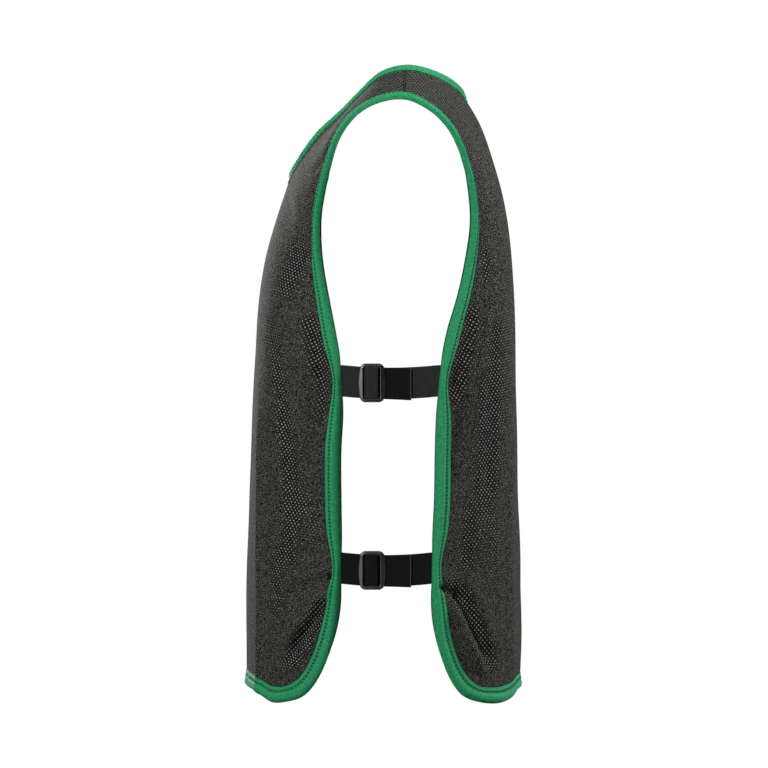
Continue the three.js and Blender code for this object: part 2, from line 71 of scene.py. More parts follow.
# How the tape, the straps and its own weight draw the cloth out of its smooth form. Below and over give the
# depth under the shoulder at which a draw begins and the height over which it grows.
EDGE_ROLL = {"depth": 7.2, "less_at_strap": 3.4, "reach": 9, "below": 30, "over": 90}
ARM_DRAW = {"depth": 4.4, "least": 0.25, "z": -160, "half": 75, "reach": 14, "below": 60, "over": 60}
NECK_BACK_DRAW = {"rise": 5, "across": 38, "z": -16, "half": 22, "outside": 25, "over": 20}
NECK_FRONT_DRAW = {"rise": 9, "across": 24, "z": -95, "half": 24, "outside": 70, "over": 20}
NECK_LEAN = 0.33  # how far the point of the neck goes back, as a share of its rise
STRAP_PULL = {"half": 26, "narrows": 0.42}  # the height it acts over, and the share of the tape it hides
HEM_HANG = {"below": 490, "over": 90}
RIPPLE = {"lift": 0.45, "over": 250, "waves": (23, 19, 33, 47)}

# Straps and sliders
STRAP_WIDTH = 30
STRAP = 1.2  # thickness
LAYER_GAP = 0.3
LAYER = STRAP + LAYER_GAP
STRAP_TUCK = 14  # how far a strap runs in behind the tape
STRAP_SEAT = [(0, 6.4), (STRAP_TUCK / 2, 2.9), (STRAP_TUCK, 2.2)]  # in from the edge, and behind the cloth
STRAP_SAG = 2.4
SLIDER_Y = -31
TAIL = 38  # how far the free end reaches past the slider's middle
TAIL_DROOP = 1.6  # how far the free end hangs below the strap
RETURN = 26  # how far the loop's sewn end comes back
STRAP_LEVELS = {"upper": -284, "lower": -462}
SLIDER = {
    "height": 37,
    "thickness": 2.6,
    "front_bar": 3.6,
    "slot": 4.6,
    "centre_bar": 6.6,
    "back_bar": 4.6,
    "slot_height": 29.0,
    "slot_corner": 1.2,
    "corner": 6.0,
    "bow": 0.9,
    "bevel": 1.0,
    "slope": 0.24,  # of the outer bars' faces, away from the middle
}

# Panels. A row is one section across the left half of a panel, from the shoulder seam to the hem:
# where it starts (on the neck edge, or below it on the centre line), where it ends (on the arm edge or
# side), and the direction and reach with which it leaves its start and arrives at its end.
START, EDGE, LEAVE, ARRIVE = range(4)
FRONT_ROWS = [
    ((76, 0, 15.5), (149, 0, -16), (9, 0, -8), (13, 0, -10)),
    ((75, -22.5, 8.5), (150, -27, -20.5), (11, 1, -8), (14, 5, -10)),
    ((71, -43, -10.5), (150, -48, -34), (14, 3, -8), (16, 9, -10)),
    ((65, -59.5, -27.5), (149, -63.5, -55), (18, 4, -9), (18, 14, -9)),
    ((55, -80.5, -46.8), (148, -72, -80), (25, 4, -11), (20, 18, -9)),
    ((41, -95.7, -67.2), (147, -77, -103), (32, 2, -13), (21, 20, -8)),
    ((22, -105.7, -85.2), (147, -79.5, -126), (39, -1, -14), (21, 23, -8)),
    ((0, -108.5, -93), (147, -79, -150), (48, -3, -13), (22, 27, -7)),
    ((0, -121, -131), (151, -76, -178), (80, -3, -12), (23, 34, -7)),
    ((0, -132, -170), (156, -71, -206), (114, -1, -9), (24, 46, -6)),
    ((0, -138, -215), (163, -65.5, -238), (138, 0, -6), (25, 56, -4)),
    ((0, -141, -262), (167, -61, -266), (148, 0, 0), (24, 64, 0)),
    ((0, -143, -305), (167, -59, -308), (153, 0, 0), (24, 68, 0)),
    ((0, -145, -350), (167, -61, -350), (155, 0, 0), (24, 69, 0)),
    ((0, -146.5, -400), (167, -61, -400), (155, 0, 0), (24, 70, 0)),
    ((0, -148, -450), (167, -60, -450), (155, 0, 0), (24, 70, 0)),
    ((0, -149, -500), (167, -61.5, -502), (155, 0, 0), (24, 70, 0)),
    ((0, -149, -538), (166, -65.5, -547), (154, 0, 0), (23, 69, 0)),
    ((0, -148.3, -576), (164, -70, -594.5), (152, 0, 0), (22, 68, 0)),
]
BACK_ROWS = [
    ((76, 0, 15.5), (149, 0, -16), (9, 0, -8), (13, 0, -10)),
    ((73, 21.5, 12.5), (151, 24, -26.5), (11, -2, -9), (14, -4, -11)),
    ((62, 41.2, 3.6), (152, 42, -43), (16, -4, -10), (16, -8, -12)),
    ((45, 51.7, -6.6), (152, 53, -61), (27, -1, -12), (18, -11, -11)),
    ((23, 55, -15), (151.5, 58.5, -76), (38, 2, -13), (20, -14, -10)),
    ((0, 55.5, -18), (151, 62.5, -91), (46, 5, -12), (21, -17, -10)),
    ((0, 73, -44), (150, 64.5, -114), (76, 5, -12), (22, -21, -9)),
    ((0, 85.5, -79), (150, 63, -140), (100, 4, -13), (23, -28, -9)),
    ((0, 94.5, -113), (152, 57.5, -172), (122, 2, -12), (24, -35, -8)),
    ((0, 100.5, -152), (157, 50.5, -203), (138, 1, -10), (24, -45, -6)),
    ((0, 103.8, -195), (163, 42, -235), (146, 0, -6), (25, -55, -4)),
    ((0, 105.2, -245), (167, 36, -266), (150, 0, -2), (24, -63, 0)),
    ((0, 106, -297), (167, 32.5, -305), (153, 0, 0), (24, -67, 0)),
    ((0, 107, -350), (167, 31, -350), (155, 0, 0), (24, -68, 0)),
    ((0, 108.2, -400), (167, 30, -400), (155, 0, 0), (24, -68, 0)),
    ((0, 109.5, -450), (167, 27.5, -450), (155, 0, 0), (24, -68, 0)),
    ((0, 110.3, -500), (167, 27, -502), (155, 0, 0), (24, -68, 0)),
    ((0, 110.3, -538), (166, 29.5, -547), (154, 0, 0), (23, -67, 0)),
    ((0, 109, -579.5), (164, 34, -594), (152, 0, 0), (22, -66, 0)),
]
LAST_ROW = 18
FRONT_NECK_ROW = 7
BACK_NECK_ROW = 5

# Soft folds of the cloth: the view they are placed in, two ends there (across, z), half-width and lift
SIDE, FACE = "side", "face"  # seen from the side a place is (y, z), from the front or back it is (x, z)
FRONT_FOLDS = [
    (SIDE, (-137.5, -260), (-138.5, -700), 2.2, 2.6),
    (SIDE, (-131, -300), (-129, -700), 4.5, -2.0),
    (SIDE, (-128, -205), (-113, -335), 7.0, -2.4),
    (SIDE, (-116, -300), (-103, -430), 7.5, -3.0),
    (SIDE, (-100, -225), (-95, -390), 7.0, 3.4),
    (SIDE, (-90, -215), (-78, -290), 6.5, -4.2),
    (SIDE, (-79, -260), (-77, -345), 6.0, -4.4),
    (SIDE, (-62, -466), (-118, -490), 3.6, -5.2),
    (SIDE, (-66, -474), (-116, -540), 4.5, 5.6),
    (SIDE, (-72, -484), (-114, -560), 6.0, -6.2),
    (SIDE, (-80, -515), (-114, -566), 4.0, 3.0),
    (SIDE, (-108, -444), (-66, -453), 4.0, -1.4),
    (SIDE, (-99, -75), (-103, -150), 4.0, 0.9),
    (SIDE, (-74, -69), (-88, -89), 2.6, -1.5),
    (FACE, (-34, -380), (-46, -690), 12.0, 0.9),
    (FACE, (38, -340), (50, -690), 13.0, -1.5),
    (FACE, (4, -420), (10, -690), 11.0, 0.3),
]
BACK_FOLDS = [
    (SIDE, (89, -180), (66, -295), 4.0, 3.6),
    (SIDE, (72, -255), (51, -385), 2.6, 4.2),
    (SIDE, (68, -205), (46, -305), 6.0, -4.4),
    (SIDE, (89, -215), (78, -410), 6.0, -3.4),
    (SIDE, (101.6, -250), (102.6, -690), 3.0, 1.4),
    (SIDE, (95.5, -270), (96, -690), 3.5, -1.1),
    (SIDE, (30, -478), (60, -494), 3.2, -5.2),
    (SIDE, (46, -472), (86, -562), 6.0, -5.8),
    (SIDE, (44, -490), (78, -570), 4.5, 5.0),
    (SIDE, (60, -465), (94, -550), 6.0, 2.0),
    (SIDE, (66, -50), (82, -140), 4.0, 1.2),
    (SIDE, (61, -55), (74, -140), 4.0, -1.0),
    (FACE, (-30, -300), (-52, -690), 13.0, -1.6),
    (FACE, (28, -380), (40, -690), 12.0, 0.9),
    (FACE, (-4, -440), (-8, -690), 10.0, 0.5),
    (FACE, (43, 20), (50, -58), 24.0, 1.0),
    (FACE, (-43, 20), (-50, -58), 24.0, 1.0),
]
RIGHT_FOLDS = {"drop": -17, "lift": 0.85}  # the right side's folds are the same, a little lower and softer

# How the hem hangs: its drop, and where it rides up, from a place to the middle of the panel and in a wave
# beside it. Both are given as a place front to back, a half-width and a rise.
FRONT_HEM = {"drop": 2.0, "middle": (-139.5, 8, 5.6), "wave": (-111, 14, 3.6)}
BACK_HEM = {"drop": 1.6, "middle": (106, 5, 6.0), "wave": (70, 14, 4.0)}

# Where the knit is stretched and its eyelets stand open, which also places the eyelets' painted light and
# the yarn's painted shade: the view, the two ends, half-width and strength.
FRONT_STRETCH = [
    (SIDE, (-92, -145), (-118, -212), 10, 0.85),
    (SIDE, (-92, -212), (-77, -288), 8, 1.1),
    (SIDE, (-80, -250), (-77, -335), 7, 0.6),
    (SIDE, (-130, -205), (-112, -340), 7, 0.6),
    (SIDE, (-117, -300), (-102, -425), 9, 0.8),
    (SIDE, (-102, -385), (-114, -470), 10, 0.7),
    (SIDE, (-120, -440), (-122, -515), 7, 0.5),
    (SIDE, (-70, -482), (-116, -566), 8, 1.2),
    (SIDE, (-90, -385), (-84, -450), 8, 0.35),
    (FACE, (-40, -200), (16, -320), 25, 0.7),
    (FACE, (32, -350), (-16, -510), 28, 0.7),
    (FACE, (58, -460), (14, -590), 18, 0.8),
    (FACE, (-62, -400), (-42, -545), 16, 0.7),
]
BACK_STRETCH = [
    (SIDE, (69, -200), (44, -320), 8, 1.1),
    (SIDE, (75, -150), (80, -200), 5, 0.6),
    (SIDE, (89, -215), (82, -320), 8, 0.8),
    (SIDE, (86, -265), (76, -420), 11, 1.1),
    (SIDE, (67, -390), (59, -475), 10, 0.7),
    (SIDE, (79, -395), (92, -495), 8, 0.4),
    (SIDE, (44, -462), (88, -568), 8, 1.2),
    (SIDE, (97, -160), (100, -310), 4, 0.35),
    (FACE, (-28, -110), (32, -250), 25, 0.7),
    (FACE, (14, -310), (-30, -450), 26, 0.7),
    (FACE, (44, -440), (16, -575), 18, 0.8),
    (FACE, (-58, -460), (-32, -585), 16, 0.7),
]


def smooth_line(points, closed=False):
    """A Catmull-Rom line through points, as a function of the place along it, counted in points."""
    points = np.asarray(points, float)
    if closed:
        guide = np.vstack([points[-1:], points, points[:2]])
    else:
        guide = np.vstack([2 * points[:1] - points[1:2], points, 2 * points[-1:] - points[-2:-1]])
    spans = len(guide) - 3

    def at(place):
        place = np.mod(place, spans) if closed else np.clip(place, 0, spans)
        first = np.minimum(np.floor(place).astype(int), spans - 1)
        t = (place - first)[..., None]
        a, b, c, d = (guide[first + i] for i in range(4))
        bend, twist = 2 * a - 5 * b + 4 * c - d, 3 * b - a - 3 * c + d
        return 0.5 * (2 * b + (c - a) * t + bend * t**2 + twist * t**3)

    return at


def column(rows, which):
    return [row[which] for row in rows]


def mirrored(points):
    return np.asarray(points, float) * (-1, 1, 1)


def dot(a, b):
    return (a * b).sum(-1)


def unit(vectors):
    return vectors / np.linalg.norm(vectors, axis=-1, keepdims=True)


def bell(value, width):
    return np.exp(-((value / width) ** 2))


def ramp(value, start, run):
    """0 up to a start, then rising to 1 over a run."""
    return np.clip((value - start) / run, 0, 1)


STROKE_FADE = 0.25  # share of a stroke's length over which each end fades


def stroke(places, start, end, width):
    """1 along the middle of a line, fading out sideways and towards its two ends."""
    first, run = np.asarray(start, float), np.subtract(end, start)
    along = dot(places - first, run) / dot(run, run)
    gap = np.linalg.norm(places - first - along[..., None] * run, axis=-1)
    fade = np.clip(np.minimum(along, 1 - along) / STROKE_FADE, 0, 1)
    return bell(gap, width) * fade**2 * (3 - 2 * fade)


def lengths_along(points):
    steps = np.linalg.norm(np.diff(points, axis=0), axis=1)
    return np.concatenate([[0], np.cumsum(steps)])


# The neck edge is one loop over both panels, and the left outer edge one line over the shoulder.
LEFT_NECK = column(BACK_ROWS, START)[BACK_NECK_ROW:0:-1] + column(FRONT_ROWS, START)[: FRONT_NECK_ROW + 1]
NECK_LINE = smooth_line(np.vstack([LEFT_NECK, mirrored(LEFT_NECK[-2:0:-1])]), closed=True)
OUTER_LINE = smooth_line(column(BACK_ROWS, EDGE)[:0:-1] + column(FRONT_ROWS, EDGE))


SLOPE_STEP = 0.02  # in rows, and as a share of a section
CORNER_SAMPLES = {"turn": 120, "reach": 300, "margin": 0.05}


class Panel:
    """A panel's middle surface.

    A place on its left half is a level, counted in rows, and a share of the section there.
    """

    def __init__(self, name, facing, neck_row, corner_row, hem_reach, rows, folds, hem, stretch):
        self.name, self.facing, self.neck_row = name, facing, neck_row
        self.corner_row, self.hem_reach = corner_row, hem_reach
        self.folds, self.hem, self.stretch = folds, hem, stretch
        self.centre = smooth_line(column(rows, START)[neck_row:])
        self.leave = smooth_line(column(rows, LEAVE))
        self.arrive = smooth_line(column(rows, ARRIVE))
        self.corner_levels, self.corner_shares = self.corner()

    def edge(self, level):
        return OUTER_LINE(LAST_ROW - self.facing * level)

    def point(self, level, share):
        beside_neck = (level <= self.neck_row)[..., None]
        neck = NECK_LINE(BACK_NECK_ROW - self.facing * level)
        start = np.where(beside_neck, neck, self.centre(level - self.neck_row))
        edge = self.edge(level)
        t = share[..., None]
        first, second = start + self.leave(level), edge - self.arrive(level)
        near_start = (1 - t) ** 3 * start + 3 * (1 - t) ** 2 * t * first
        return near_start + 3 * (1 - t) * t**2 * second + t**3 * edge

    def slopes(self, level, share):
        """How the surface runs down through the rows and across along the section."""
        step = SLOPE_STEP
        low, high = np.maximum(level - step, 0), np.minimum(level + step, LAST_ROW)
        down = (self.point(high, share) - self.point(low, share)) / (high - low)[..., None]
        across = (self.point(level, share + step) - self.point(level, share - step)) / (2 * step)
        return down, across

    def normal(self, level, share):
        down, across = self.slopes(level, share)
        return unit(np.cross(across, down)) * self.facing

    def corner(self):
        """Levels and shares along the edge round the corner, a quarter ellipse seen from the side."""
        turn = np.linspace(0, math.pi / 2, CORNER_SAMPLES["turn"])
        levels = self.corner_row + (LAST_ROW - self.corner_row) * np.sin(turn)
        trial = np.linspace(self.hem_reach - CORNER_SAMPLES["margin"], 1, CORNER_SAMPLES["reach"])
        level, share = np.meshgrid(levels, trial, indexing="ij")
        towards_edge = -self.facing * self.point(level, share)[..., 1]
        first, last = towards_edge[0, -1], np.interp(self.hem_reach, trial, towards_edge[-1])
        wanted = last + (first - last) * np.cos(turn)
        return levels, np.array([np.interp(*pair, trial) for pair in zip(wanted, towards_edge)])

    def reach(self, level):
        """The share at which the outer edge lies, which draws in round the corner."""
        return np.interp(level, self.corner_levels, self.corner_shares)

    def dressed(self, level, share, side):
        """Points and normals of the cloth as it hangs in folds, on the left (side 1) or right (side -1)."""
        base, normal = self.point(level, share), self.normal(level, share)
        lift = self.strokes(self.folds, base, side) + ripple(base, side) - edge_roll(base, self.edge(level))
        points = base + normal * lift[..., None]
        points[..., 1] += self.facing * arm_draw(base, self.edge(level))
        points[..., 2] += self.hem_rise(base)
        points += neck_draw(base)
        if side > 0:
            return points, normal
        return mirrored(points), mirrored(normal)

    def hem_rise(self, base):
        """How far the cloth near the hem is drawn up, or hangs down where this is below 0."""
        near_hem = ramp(-base[..., 2], HEM_HANG["below"], HEM_HANG["over"])
        middle, middle_width, middle_rise = self.hem["middle"]
        wave, wave_width, wave_rise = self.hem["wave"]
        beside = np.maximum(self.facing * (middle - base[..., 1]), 0)
        rise = middle_rise * bell(beside, middle_width) + wave_rise * bell(base[..., 1] - wave, wave_width)
        return near_hem * (rise - self.hem["drop"])

    def openness(self, level, share, side):
        """How far the eyelets stand open, from 0 to 1."""
        base = self.point(level, share)
        rest = EYELETS_AT_REST * ramp(-base[..., 2], EYELETS_SHUT["above"], EYELETS_SHUT["over"])
        return np.clip(rest + self.strokes(self.stretch, base, side), 0, 1)

    def strokes(self, table, base, side):
        """The sum of a table's strokes at places on one side of the panel."""
        total = np.zeros(base.shape[:-1])
        for view, start, end, width, strength in table:
            if view == FACE:
                total += strength * stroke(base[..., [0, 2]] * (side, 1), start, end, width)
            elif side > 0:
                total += strength * stroke(base[..., [1, 2]], start, end, width)
            else:
                lower = base[..., [1, 2]] - (0, RIGHT_FOLDS["drop"])
                total += strength * RIGHT_FOLDS["lift"] * stroke(lower, start, end, width)
        return total


def ripple(base, side):
    """The slight unevenness of a hanging knit."""
    x, y, z = side * base[..., 0], base[..., 1], base[..., 2]
    lift = RIPPLE["lift"] * ramp(-z, 0, RIPPLE["over"])
    down, slant, cross, run = RIPPLE["waves"]
    return lift * np.sin(z / down + (x + y) / slant) * np.sin((x - y) / cross - z / run)


def neck_draw(base):
    """The tape draws the neck edge up a little, at the back and at the point of the front."""
    x, y, z = np.moveaxis(base, -1, 0)
    rises = []
    for draw, outwards in ((NECK_BACK_DRAW, y), (NECK_FRONT_DRAW, -y)):
        middle = draw["rise"] * bell(x, draw["across"]) * bell(z - draw["z"], draw["half"])
        rises.append(middle * ramp(outwards, draw["outside"], draw["over"]))
    back, front = rises
    return np.stack([np.zeros_like(x), NECK_LEAN * front, back + front], axis=-1)


def near_edge(base, edge, reach):
    """1 on the cloth's edge, easing to 0 at a reach from it."""
    inset = np.linalg.norm(base - edge, axis=-1)
    return np.clip(1 - inset / reach, 0, 1) ** 2


def arm_draw(base, edge):
    """How far the tape draws the edge beside the arm outwards, to the front or the back."""
    z, least = base[..., 2], ARM_DRAW["least"]
    beside = least + (1 - least) * bell(z - ARM_DRAW["z"], ARM_DRAW["half"])
    beside *= ramp(-z, ARM_DRAW["below"], ARM_DRAW["over"])
    return ARM_DRAW["depth"] * near_edge(base, edge, ARM_DRAW["reach"]) * beside


def strap_pull(z):
    """1 where a strap pulls on the edge, 0 away from it."""
    return sum(bell(z - level, STRAP_PULL["half"]) for level in STRAP_LEVELS.values())


def edge_roll(base, edge):
    """The bound edge rolls inwards, not on the shoulder and less where a strap is sewn behind it."""
    z = base[..., 2]
    depth = EDGE_ROLL["depth"] - EDGE_ROLL["less_at_strap"] * strap_pull(z)
    low = ramp(-z, EDGE_ROLL["below"], EDGE_ROLL["over"])
    return depth * near_edge(base, edge, EDGE_ROLL["reach"]) * low


FRONT = Panel(
    "front", facing=-1, neck_row=FRONT_NECK_ROW, corner_row=15.4, hem_reach=0.66,
    rows=FRONT_ROWS, folds=FRONT_FOLDS, hem=FRONT_HEM, stretch=FRONT_STRETCH,
)
BACK = Panel(
    "back", facing=1, neck_row=BACK_NECK_ROW, corner_row=15.65, hem_reach=0.71,
    rows=BACK_ROWS, folds=BACK_FOLDS, hem=BACK_HEM, stretch=BACK_STRETCH,
)
PANELS = (FRONT, BACK)
SIDES = (1, -1)  # left and right


# Meshes

def linked(name, data):
    """A new object at the origin, in the scene."""
    item = bpy.data.objects.new(name, data)
    bpy.context.scene.collection.objects.link(item)
    return item


def made_plain(holder):
    """The finished mesh of an object with modifiers or of a curve, which is then removed."""
    mesh = bpy.data.meshes.new_from_object(holder.evaluated_get(bpy.context.evaluated_depsgraph_get()))
    bpy.data.objects.remove(holder)
    return mesh


def corner_points(mesh):
    """The point at each corner of a mesh's faces."""
    corners = np.zeros(len(mesh.loops), np.int32)
    mesh.loops.foreach_get("vertex_index", corners)
    return corners


def make_piece(name, points, faces, material, uv=None, openness=None):
    """A smooth mesh object from points in mm, with its faces turned outwards."""
    points, faces = np.asarray(points, float) * MM, np.asarray(faces, int)
    a, b, c, d = (points[faces[:, i]] for i in range(4))
    volume = dot(a, np.cross(b, c)).sum() + dot(a, np.cross(c, d)).sum()
    if volume < 0:
        faces = faces[:, ::-1]
    mesh = bpy.data.meshes.new(name)
    mesh.from_pydata(points.tolist(), [], [tuple(dict.fromkeys(face)) for face in faces.tolist()])
    if uv is not None:
        layer = mesh.uv_layers.new(name="flat")
        layer.data.foreach_set("uv", (np.asarray(uv, float) * MM)[corner_points(mesh)].ravel())
    if openness is not None:
        mesh.attributes.new("openness", "FLOAT", "POINT").data.foreach_set("value", openness)
    mesh.shade_smooth()
    mesh.materials.append(material)
    return linked(name, mesh)


def grid_faces(index):
    """Quads between neighbouring rows and columns of an index grid."""
    corners = index[:-1, :-1], index[1:, :-1], index[1:, 1:], index[:-1, 1:]
    return np.stack(corners, axis=-1).reshape(-1, 4)


def swept_faces(sections, size, closed):
    """Quads of a loop-shaped section swept along a path, with flat ends where the path is open."""
    index = np.arange(sections * size).reshape(sections, size)
    ring = np.hstack([index, index[:, :1]])
    if closed:
        return grid_faces(np.vstack([ring, ring[:1]]))
    half = size // 2
    ends = []
    for end, turned in ((index[0], False), (index[-1], True)):
        strip = np.stack([end[:half], end[::-1][:half]], axis=1)
        ends.append(grid_faces(strip if turned else strip[:, ::-1]))
    return np.vstack([grid_faces(ring), *ends])


# Panels

def levels_by_length(panel, first, last):
    """Levels between two others, evenly spaced along the outer edge."""
    fine = np.linspace(first, last, FINE)
    lengths = lengths_along(panel.edge(fine))
    count = max(2, round(lengths[-1] / ROW_STEP) + 1)
    return np.interp(np.linspace(0, lengths[-1], count), lengths, fine)


def panel_places(panel):
    """Levels and shares of a grid over a panel's left half, and the grid's row at the neck's point."""
    above = levels_by_length(panel, 0, panel.neck_row)
    below = levels_by_length(panel, panel.neck_row, panel.corner_row)
    turn = np.linspace(0, math.pi / 2, CORNER_ROWS + 1)[1:]
    corner = panel.corner_row + (LAST_ROW - panel.corner_row) * np.sin(turn)
    levels = np.concatenate([above, below[1:], corner])
    level, across = np.meshgrid(levels, np.linspace(0, 1, COLUMNS + 1), indexing="ij")
    return level, across * panel.reach(level), len(above) - 1


def panel_grid(level, neck_row):
    """Quads of a whole panel, whose halves share a line below the neck, and its left half's index grid."""
    left = np.arange(level.size).reshape(level.shape)
    right = left + level.size
    joined = level[:, 0] >= neck_row
    right[joined, 0] = left[joined, 0]
    return np.vstack([grid_faces(left), grid_faces(right[:, ::-1])]), left


def both_halves(left, right):
    return np.concatenate([left.reshape(-1, *left.shape[2:]), right.reshape(-1, *right.shape[2:])])


def panel_surface(panel):
    """A whole panel's middle surface, with what its flat pattern and its eyelets need."""
    level, share, neck = panel_places(panel)
    faces, left_index = panel_grid(level, panel.neck_row)
    used = np.unique(faces)
    renumber = np.zeros(2 * level.size, int)
    renumber[used] = np.arange(len(used))
    smooth = panel.point(level, share)
    return {
        "points": both_halves(*(panel.dressed(level, share, side)[0] for side in SIDES))[used],
        "smooth": both_halves(smooth, mirrored(smooth))[used],
        "openness": both_halves(*(panel.openness(level, share, side) for side in SIDES))[used],
        "faces": renumber[faces],
        "hem": renumber[left_index[-1]],
        "neck": renumber[left_index[neck, 0]],
    }


def vertex_normals(points, faces):
    a, b, c, d = (points[faces[:, i]] for i in range(4))
    face_normals = np.cross(c - a, d - b)
    normals = np.zeros_like(points)
    for i in range(4):
        np.add.at(normals, faces[:, i], face_normals)
    return unit(normals)


def unwrapped(points, faces):
    """A surface laid flat without shear, at no set place, turn or size."""
    mesh = bpy.data.meshes.new("flat_pattern")
    mesh.from_pydata((points * MM).tolist(), [], faces.tolist())
    mesh.uv_layers.new(name="flat")
    pattern = linked("flat_pattern", mesh)
    bpy.context.view_layer.objects.active = pattern
    pattern.select_set(True)
    bpy.ops.object.mode_set(mode="EDIT")
    bpy.ops.mesh.select_all(action="SELECT")
    bpy.ops.uv.unwrap(method="CONFORMAL", margin=0)
    bpy.ops.object.mode_set(mode="OBJECT")
    values = np.zeros(len(mesh.loops) * 2, np.float32)
    mesh.uv_layers["flat"].data.foreach_get("uv", values)
    flat = np.zeros((len(points), 2))
    flat[corner_points(mesh)] = values.reshape(-1, 2)
    bpy.data.objects.remove(pattern)
    return flat


def flat_pattern(surface):
    """The panel laid flat, in mm from the middle of its hem: its cut, on which the knit runs straight."""
    points, faces = surface["smooth"], surface["faces"]
    flat = unwrapped(points, faces)
    top, hem = flat[surface["neck"]], flat[surface["hem"][0]]
    upwards = (top - hem) / np.linalg.norm(top - hem)
    sideways = np.array([upwards[1], -upwards[0]])
    flat = np.stack([(flat - hem) @ sideways, (flat - hem) @ upwards], axis=1)
    if flat[surface["hem"][-1], 0] < 0:
        flat[:, 0] *= -1
    return flat * math.sqrt(cloth_area(points, faces) / abs(flat_area(flat, faces)))


GRAIN = {"lean": 0.0009, "level": 330, "drop": 0.0004}  # a mm, at this height over the hem, and a mm squared


def flat_grain(flat):
    """The knit's courses drop towards the sides, and its wales lean in a little below the chest."""
    across, up = flat[:, 0], flat[:, 1]
    leaning = across * (1 - GRAIN["lean"] * (up - GRAIN["level"]))
    return np.stack([leaning, up + GRAIN["drop"] * across**2], axis=1)


def cloth_area(points, faces):
    a, b, c, d = (points[faces[:, i]] for i in range(4))
    return np.linalg.norm(np.cross(c - a, d - b), axis=1).sum() / 2


def flat_area(flat, faces):
    a, b, c, d = (flat[faces[:, i]] for i in range(4))
    p, q = c - a, d - b
    return (p[:, 0] * q[:, 1] - p[:, 1] * q[:, 0]).sum() / 2


def cloth_wall(points, normals, faces, thickness):
    """The surface copied to both sides, and closed along its free edges."""
    count = len(points)
    walls = np.vstack([points + normals * thickness / 2, points - normals * thickness / 2])
    edges = np.vstack([faces[:, [i, (i + 1) % 4]] for i in range(4)])
    ids = edges[:, 0] * count + edges[:, 1]
    free = edges[~np.isin(ids, edges[:, 1] * count + edges[:, 0])]
    rim = np.stack([free[:, 1], free[:, 0], free[:, 0] + count, free[:, 1] + count], axis=1)
    return walls, np.vstack([faces, faces[:, ::-1] + count, rim])


def make_panel(panel, material):
    """A panel's cloth, the size of its flat cut and its area."""
    surface = panel_surface(panel)
    points, faces = surface["points"], surface["faces"]
    flat = flat_pattern(surface)
    walls, quads = cloth_wall(points, vertex_normals(points, faces), faces, CLOTH)
    uv, openness = np.tile(flat_grain(flat), (2, 1)), np.tile(surface["openness"], 2)
    piece = make_piece(f"{panel.name}_panel_knit", walls, quads, material, uv, openness)
    return piece, np.ptp(flat, axis=0) * MM, cloth_area(points, faces) * MM**2


# Binding tape

# The folded tape: share of its width from the fold, and its height outside and inside the cloth's middle
TAPE_FACE = [
    (0.0, 0.5, 0.7),
    (0.02, 1.3, 1.1),
    (0.06, 2.05, 1.25),
    (0.115, 2.7, 1.36),
    (0.18, 3.2, 1.4),
    (0.25, 3.5, 1.4),
    (0.33, 3.55, 1.38),
    (0.41, 3.4, 1.3),
    (0.49, 3.05, 1.25),
    (0.56, 2.5, 1.15),
    (0.61, 1.95, 1.0),
    (0.65, 1.45, 0.9),
    (0.7, 1.3, 0.86),
    (0.75, 1.4, 0.9),
    (0.795, 1.75, 1.0),
    (0.84, 1.75, 1.05),
    (0.89, 1.4, 1.05),
    (0.925, 0.9, 0.92),
    (0.95, 1.25, 1.0),
    (0.98, 1.15, 0.9),
    (1.0, 0.6, 0.6),
]
# Its fold, from the outside to the inside: beyond the cloth's edge, and height over the cloth's middle
TAPE_FOLD = [
    (0.25, 0.55), (0.42, 0.32), (0.5, 0.08), (0.5, -0.15), (0.42, -0.38), (0.3, -0.52), (0.15, -0.64),
]
TAPE_INNER_FOLD = [(0.15, 0.0)]
# The neck tape's line at 0.95 is a real seam, sewn with black thread tight into a continuous dark line that
# is also painted shadow under the tape's edge.
EDGE_SEAMS, NECK_SEAMS = (0.65, 0.75), (0.95,)  # shares of the width at which each tape is sewn


def outer_places(panel):
    """Evenly spaced places along a panel's left edge, from the shoulder to the middle of the hem."""
    side = np.linspace(0, panel.corner_row, 2 * FINE)[:-1]
    hem = np.linspace(panel.hem_reach, 0, FINE // 2 + 1)[1:]
    level = np.concatenate([side, panel.corner_levels, np.full(len(hem), LAST_ROW)])
    share = np.concatenate([np.ones(len(side)), panel.corner_shares, hem])
    return evenly(panel, level, share)


def neck_places(panel):
    return evenly(panel, np.linspace(0, panel.neck_row, FINE), np.zeros(FINE))


def evenly(panel, level, share):
    lengths = lengths_along(panel.point(level, share))
    even = np.linspace(0, lengths[-1], round(lengths[-1] / TAPE_STEP) + 1)
    return np.interp(even, lengths, level), np.interp(even, lengths, share)


def inwards_from(panel, level, share, ends):
    """The way into the cloth, square to its edge. Ends is 1 on the outer edge and -1 on the neck edge."""
    points = panel.point(level, share)
    along = np.gradient(points, axis=0)
    along[0], along[-1] = (0, 1, 0), (1, 0, 0)
    down, across = panel.slopes(level, share)
    inside = -ends * (unit(down) + unit(across))
    inwards = unit(np.cross(along, np.cross(down, across)))
    return inwards * np.sign(dot(inwards, inside))[:, None]


def walked(panel, level, share, direction, distance):
    """Places reached from others by going some distance over the panel in a direction."""
    down, across = panel.slopes(level, share)
    a, b, c = dot(down, down), dot(down, across), dot(across, across)
    p, q = dot(down, direction) * distance, dot(across, direction) * distance
    level = np.clip(level + (p * c - q * b) / (a * c - b * b), 0, LAST_ROW)
    return level, share + (q * a - p * b) / (a * c - b * b)


